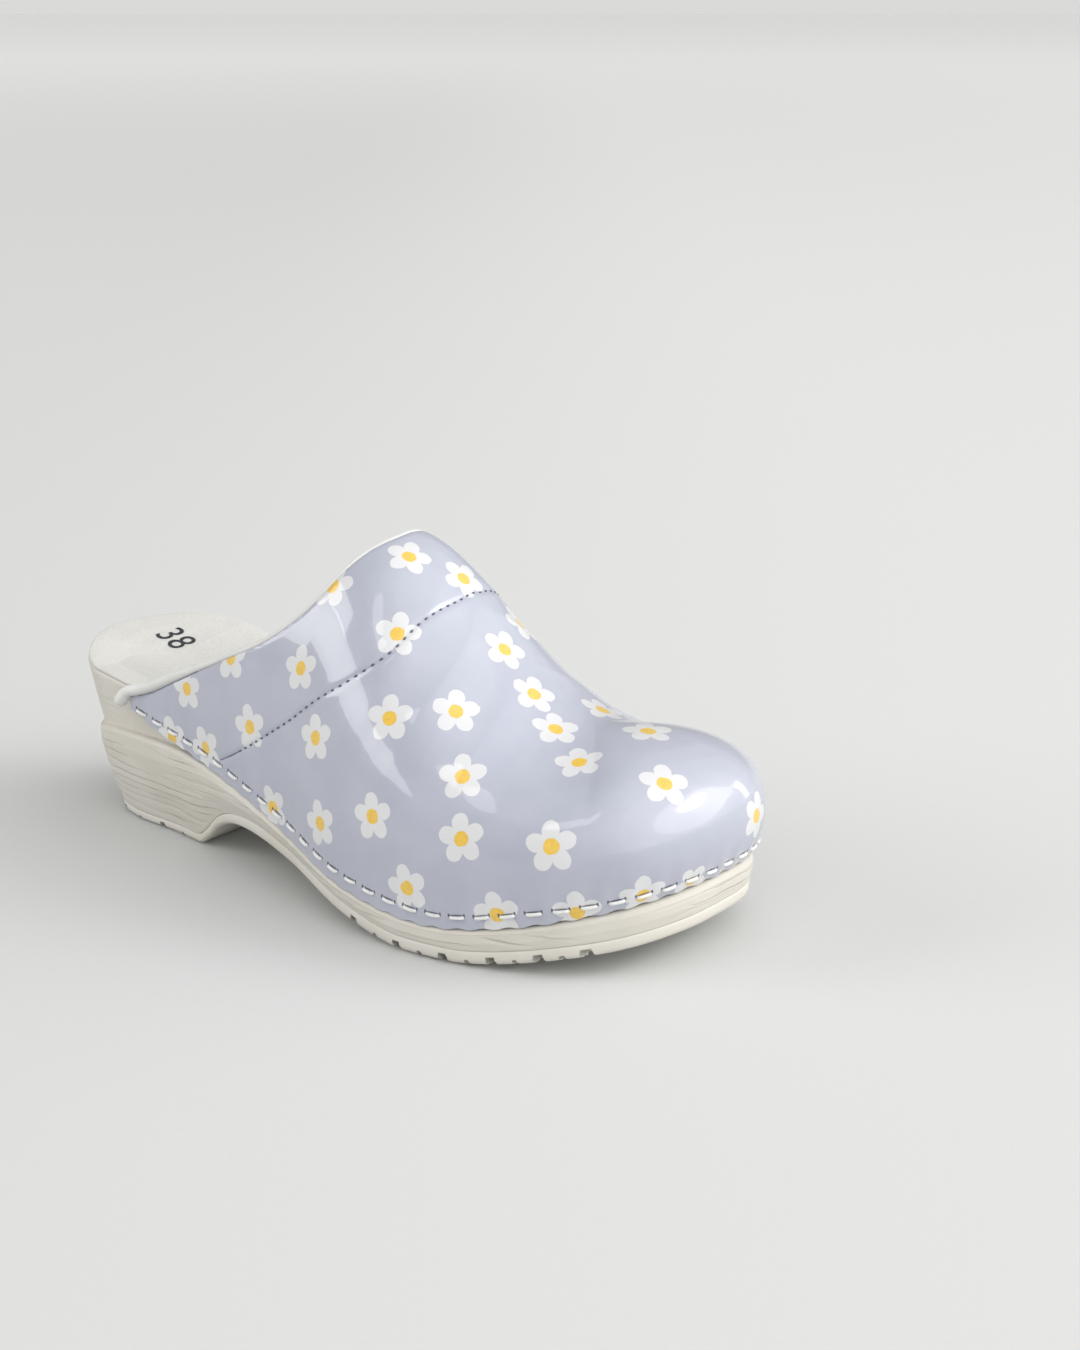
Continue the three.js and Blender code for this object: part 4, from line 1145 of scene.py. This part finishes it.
def insock():
    u = ring_u(420)
    # (inset from the outline, drop below the rim) of each ring, from underneath to the middle
    shape = [
        (1.15, 0.62), (0.95, 0.35), (0.85, 0.05), (0.95, -0.25), (1.3, -0.45), (1.9, -0.52),
        (3.5, -0.5), (6, -0.3), (9, 0.0), (12, 0.35), (15, 0.6),
    ]
    rings = [ring(u, lambda x, i=inset: -i, lambda x, lift, d=drop: rim_z(x) + lift - d)
             for inset, drop in shape]
    for placed in rings[4:]:
        placed[:, 2] += 0.05 * ripple(placed, 16, 8)
    piece = make_piece("insock_cover", *loft(rings))
    look = Look("pebbled_insock", Roughness=0.62, Sheen_Weight=0.05, Specular_IOR_Level=0.35)
    pebble = look.step(look.cells(620), 0.15, 0.62)
    patches = look.step(look.noise(38, 3), 0.3, 0.7)
    tone = look.mix(patches, (0.53, 0.525, 0.495, 1), (0.57, 0.565, 0.535, 1))
    look.finish(look.mix(look.times(pebble, 0.16), tone, (0.44, 0.43, 0.40, 1)),
                look.bump(pebble, 0.12, 0.7, look.bump(look.noise(1700, 2), 0.03, 0.5)))
    dress(piece, look, ["insock"])


def size_mark():
    """The shoe size, printed on the heel of the insock."""
    curve = bpy.data.curves.new("size_mark", "FONT")
    curve.body = "38"
    curve.size = SIZE_MARK_HEIGHT
    curve.extrude = 0.00004
    curve.align_x = "CENTER"
    curve.align_y = "CENTER"
    text = add_object("size_mark", curve)
    bpy.context.view_layer.update()
    evaluated = text.evaluated_get(bpy.context.evaluated_depsgraph_get())
    shape = bpy.data.meshes.new_from_object(evaluated)
    bpy.data.objects.remove(text)
    piece = add_object("size_mark_print", shape)
    turn = math.radians(SIZE_MARK_TURN)
    centre = np.array(SIZE_MARK_PLACE) - ORIGIN[:2]
    for vertex in shape.vertices:
        a, b, up = vertex.co * 1000
        x = centre[0] + a * math.cos(turn) - b * math.sin(turn)
        y = centre[1] + a * math.sin(turn) + b * math.cos(turn)
        flat = rim_z(x + ORIGIN[0]) - 0.45
        cup = insock_level(x + ORIGIN[0], y + ORIGIN[1])
        vertex.co = Vector((x, y, float(max(flat, cup)) + 0.10 + up)) / 1000
    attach(piece, "root")
    look = Look("printed_ink", Roughness=0.7)
    worn = look.step(look.noise(1500, 2), 0.45, 0.7)
    look.finish(look.mix(worn, linear(34, 36, 44), linear(60, 62, 70)),
                look.bump(look.noise(900, 2), 0.02, 0.5))
    dress(piece, look)


def insock_level(x, y):
    """Height of the insock's middle stretch at a place, from the two sides of its inner ring."""
    u = np.concatenate([np.linspace(0.0, 0.25, 300), np.linspace(0.75, 1.0, 300)])
    placed = ring(u, lambda q: -15, lambda q, lift: rim_z(q) + lift - 0.6)
    sides = [half[np.argsort(half[:, 0])] for half in (placed[:300], placed[300:])]
    edges = [np.interp(x, half[:, 0], half[:, 1]) for half in sides]
    heights = [np.interp(x, half[:, 0], half[:, 2]) for half in sides]
    share = np.clip((y - edges[0]) / max(edges[1] - edges[0], 1e-6), 0, 1)
    return heights[0] + (heights[1] - heights[0]) * share


# ---- lining
def lining():
    """Lining leather inside the upper, swollen over the foam, with a lip up to the roll."""
    share = np.concatenate([np.linspace(0.03, PEAK, 70, endpoint=False), np.linspace(PEAK, 1, 70)])
    depth = profile([[0.03, 2.3], [0.1, 5.0], [0.29, 5.0], [0.36, 4.3], [1, 4.25]])
    part = np.linspace(0, 1, 60)
    curl = np.linspace(0, 1, 7)
    walls, lips = [], []
    for side in (-1, 1):
        x = rim(SIDE_U[side](share))[0][:, 0]
        lift = outer_lift(x) if side < 0 else inner_lift(x)
        bottom = level_at(side, share, rim_z(x) + lift + 0.65)
        top = np.maximum(topline_t(share), bottom + 1e-3)
        t = bottom[:, None] + (top - bottom)[:, None] * part
        place = leather(side, share[:, None], t)
        collar = np.clip((0.33 - share) / 0.05, 0, 1) * np.clip((share - 0.05) / 0.05, 0, 1)
        swell = 0.9 * collar[:, None] * np.sin(math.pi * part)[None, :] ** 0.8
        inward = depth(share)[:, None] + swell + 0.08 * ripple(place, 18, 3)
        place = place - leather_normal(side, share[:, None], t) * inward[..., None]
        walls.append(sheet(place, side))

        rear = share[share <= PEAK]
        edge = leather(side, rear, topline_t(rear))
        near = distance_index(edge, TOPLINE)
        edge_x = TOPLINE[near, 0]
        first = depth(rear) + 0.08 * ripple(edge, 18, 3)
        last = np.maximum(roll_depth(edge_x) + roll_radius(edge_x) + 0.1, 2.0)
        sunk = first[:, None] + (last - first)[:, None] * curl**1.6
        raised = roll_lift(edge_x)[:, None] * np.sin(curl * math.pi / 2)
        out = leather_normal(side, rear, topline_t(rear))
        lip = (edge[:, None] - out[:, None] * sunk[..., None]
               + TOPLINE_ACROSS[near][:, None] * raised[..., None])
        lips.append(sheet(lip, side))
    joined, kept, _ = merged(*join_parts(walls + lips), reach=2e-2)
    piece = make_piece("lining_skin", joined, kept)
    thicken(piece, LINING, 0.3, 2)
    look = soft_white_leather("lining_leather", linear(231, 229, 223), 0.65)
    nodes = ["vamp_lining", "collar_lining_lateral", "collar_lining_medial"]
    dress(piece, look, nodes)


# ---- CAD nodes that stay
def foam_look():
    look = Look("foam", Roughness=0.9)
    holes = look.step(look.cells(900), 0.1, 0.5)
    return look.finish(look.mix(holes, linear(196, 192, 180), linear(226, 222, 212)),
                       look.bump(holes, 0.2, 0.8))


def steel_look():
    look = Look("rolled_steel_strip", Metallic=1.0, Roughness=0.38)
    streak = look.noise(60, 4, 0.6, look.stretched((1.0, 30.0, 30.0)))
    return look.finish(look.mix(streak, linear(120, 122, 126), linear(168, 170, 174)),
                       look.bump(streak, 0.02, 0.5))


def puff_look():
    look = Look("thermoplastic_puff_board", Roughness=0.7)
    felt = look.noise(1300, 4)
    return look.finish(look.mix(felt, linear(198, 190, 172), linear(222, 216, 202)),
                       look.bump(felt, 0.08, 0.6))


def dress_hidden_nodes():
    foam = foam_look()
    looks = {
        "footbed": foam, "collar_foam_lateral": foam, "collar_foam_medial": foam,
        "shank": steel_look(), "toe_puff": puff_look(),
    }
    for name, look in looks.items():
        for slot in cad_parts[name].material_slots:
            slot.material = look.material


upper()
rolled_edge()
roll_seam()
stitches()
staples()
sole_body()
outsole()
insock()
size_mark()
lining()
dress_hidden_nodes()


# ---- floor, backdrop and light
FLOOR_REACH = 60          # metres each way
def stage():
    mesh = bpy.data.meshes.new("floor")
    r = FLOOR_REACH
    mesh.from_pydata([(-r, -r, 0), (r, -r, 0), (r, r, 0), (-r, r, 0)], [], [(0, 1, 2, 3)])
    floor = add_object("floor", mesh)
    look = Look("studio_paper", Roughness=0.9, Specular_IOR_Level=0.1)
    paper = look.noise(400, 3)
    spot = look.node("SeparateXYZ", {"Vector": look.places()}).outputs
    across = look.math("MULTIPLY_ADD", spot["Y"], 0.62, look.times(spot["X"], 0.79))
    # painted light and shade on the paper: darker to the left of the shoe and lighter far away,
    # where the lamps reach less
    near, right, far = (0.525, 0.530, 0.522, 1), (0.590, 0.595, 0.586, 1), (0.715, 0.721, 0.710, 1)
    tone = look.mix(look.step(across, -0.35, 0.3), near, right)
    away = look.node("VectorMath", {0: look.places()}, operation="LENGTH").outputs["Value"]
    tone = look.mix(look.step(away, 2.0, 9.0), tone, far)
    look.finish(look.mix(look.times(paper, 0.06), tone, (0.30, 0.30, 0.295, 1)),
                look.bump(paper, 0.05, 0.2))
    mesh.materials.append(look.material)

    world = bpy.data.worlds.new("studio")
    world.use_nodes = True
    tree = world.node_tree
    backdrop = tree.nodes["Background"]
    backdrop.inputs["Strength"].default_value = 1.0
    place = tree.nodes.new("ShaderNodeTexCoord")
    height = tree.nodes.new("ShaderNodeSeparateXYZ")
    shade = tree.nodes.new("ShaderNodeValToRGB")
    horizon, zenith = shade.color_ramp.elements
    horizon.color = (0.70, 0.70, 0.69, 1)
    zenith.color = (0.375, 0.375, 0.372, 1)
    zenith.position = 0.085
    tree.links.new(place.outputs["Generated"], height.inputs[0])
    tree.links.new(height.outputs["Z"], shade.inputs["Fac"])
    tree.links.new(shade.outputs["Color"], backdrop.inputs["Color"])
    bpy.context.scene.world = world
    bpy.context.scene.view_settings.view_transform = "Standard"


LIGHT_DISTANCE = 8.0    # metres
LIGHT_CENTRE = Vector((0.02, 0, 0.05))


def softbox(name, azimuth, elevation, width, height, radiance, shape="ELLIPSE"):
    """A flat light that faces the shoe; its width and height are in degrees as seen from it."""
    data = bpy.data.lights.new(name, "AREA")
    data.shape = shape
    data.size = 2 * LIGHT_DISTANCE * math.tan(math.radians(width / 2))
    data.size_y = 2 * LIGHT_DISTANCE * math.tan(math.radians(height / 2))
    data.energy = radiance * math.pi * data.size * data.size_y
    way = direction(azimuth, elevation)
    add_aimed(name, data, way).location = LIGHT_CENTRE + way * LIGHT_DISTANCE


def dome(name, azimuth, elevation, spread, strength):
    """Even light from a wide round patch of sky."""
    data = bpy.data.lights.new(name, "SUN")
    data.angle = math.radians(spread)
    data.energy = strength
    add_aimed(name, data, direction(azimuth, elevation))


stage()
for spread in (92, 118, 144, 170):
    dome(f"sky_right_{spread}", 96, 27, spread, 0.76)
dome("fill_front", 50, 12, 100, 0.42)
softbox("window_left", -47, 21.5, 34, 14, 2.6)
softbox("window_left_wide", -47, 21.5, 46, 20, 2.2)
softbox("window_left_top", -50, 36, 22, 12, 3.0, "RECTANGLE")
softbox("strip_above", -10, 58, 8, 22, 1.7)
softbox("window_right", 123, 35, 26, 15, 4.6)
softbox("window_right_low", 117, 26, 58, 44, 1.3)
softbox("slit_behind", 152, 12, 7, 20, 2.8, "RECTANGLE")
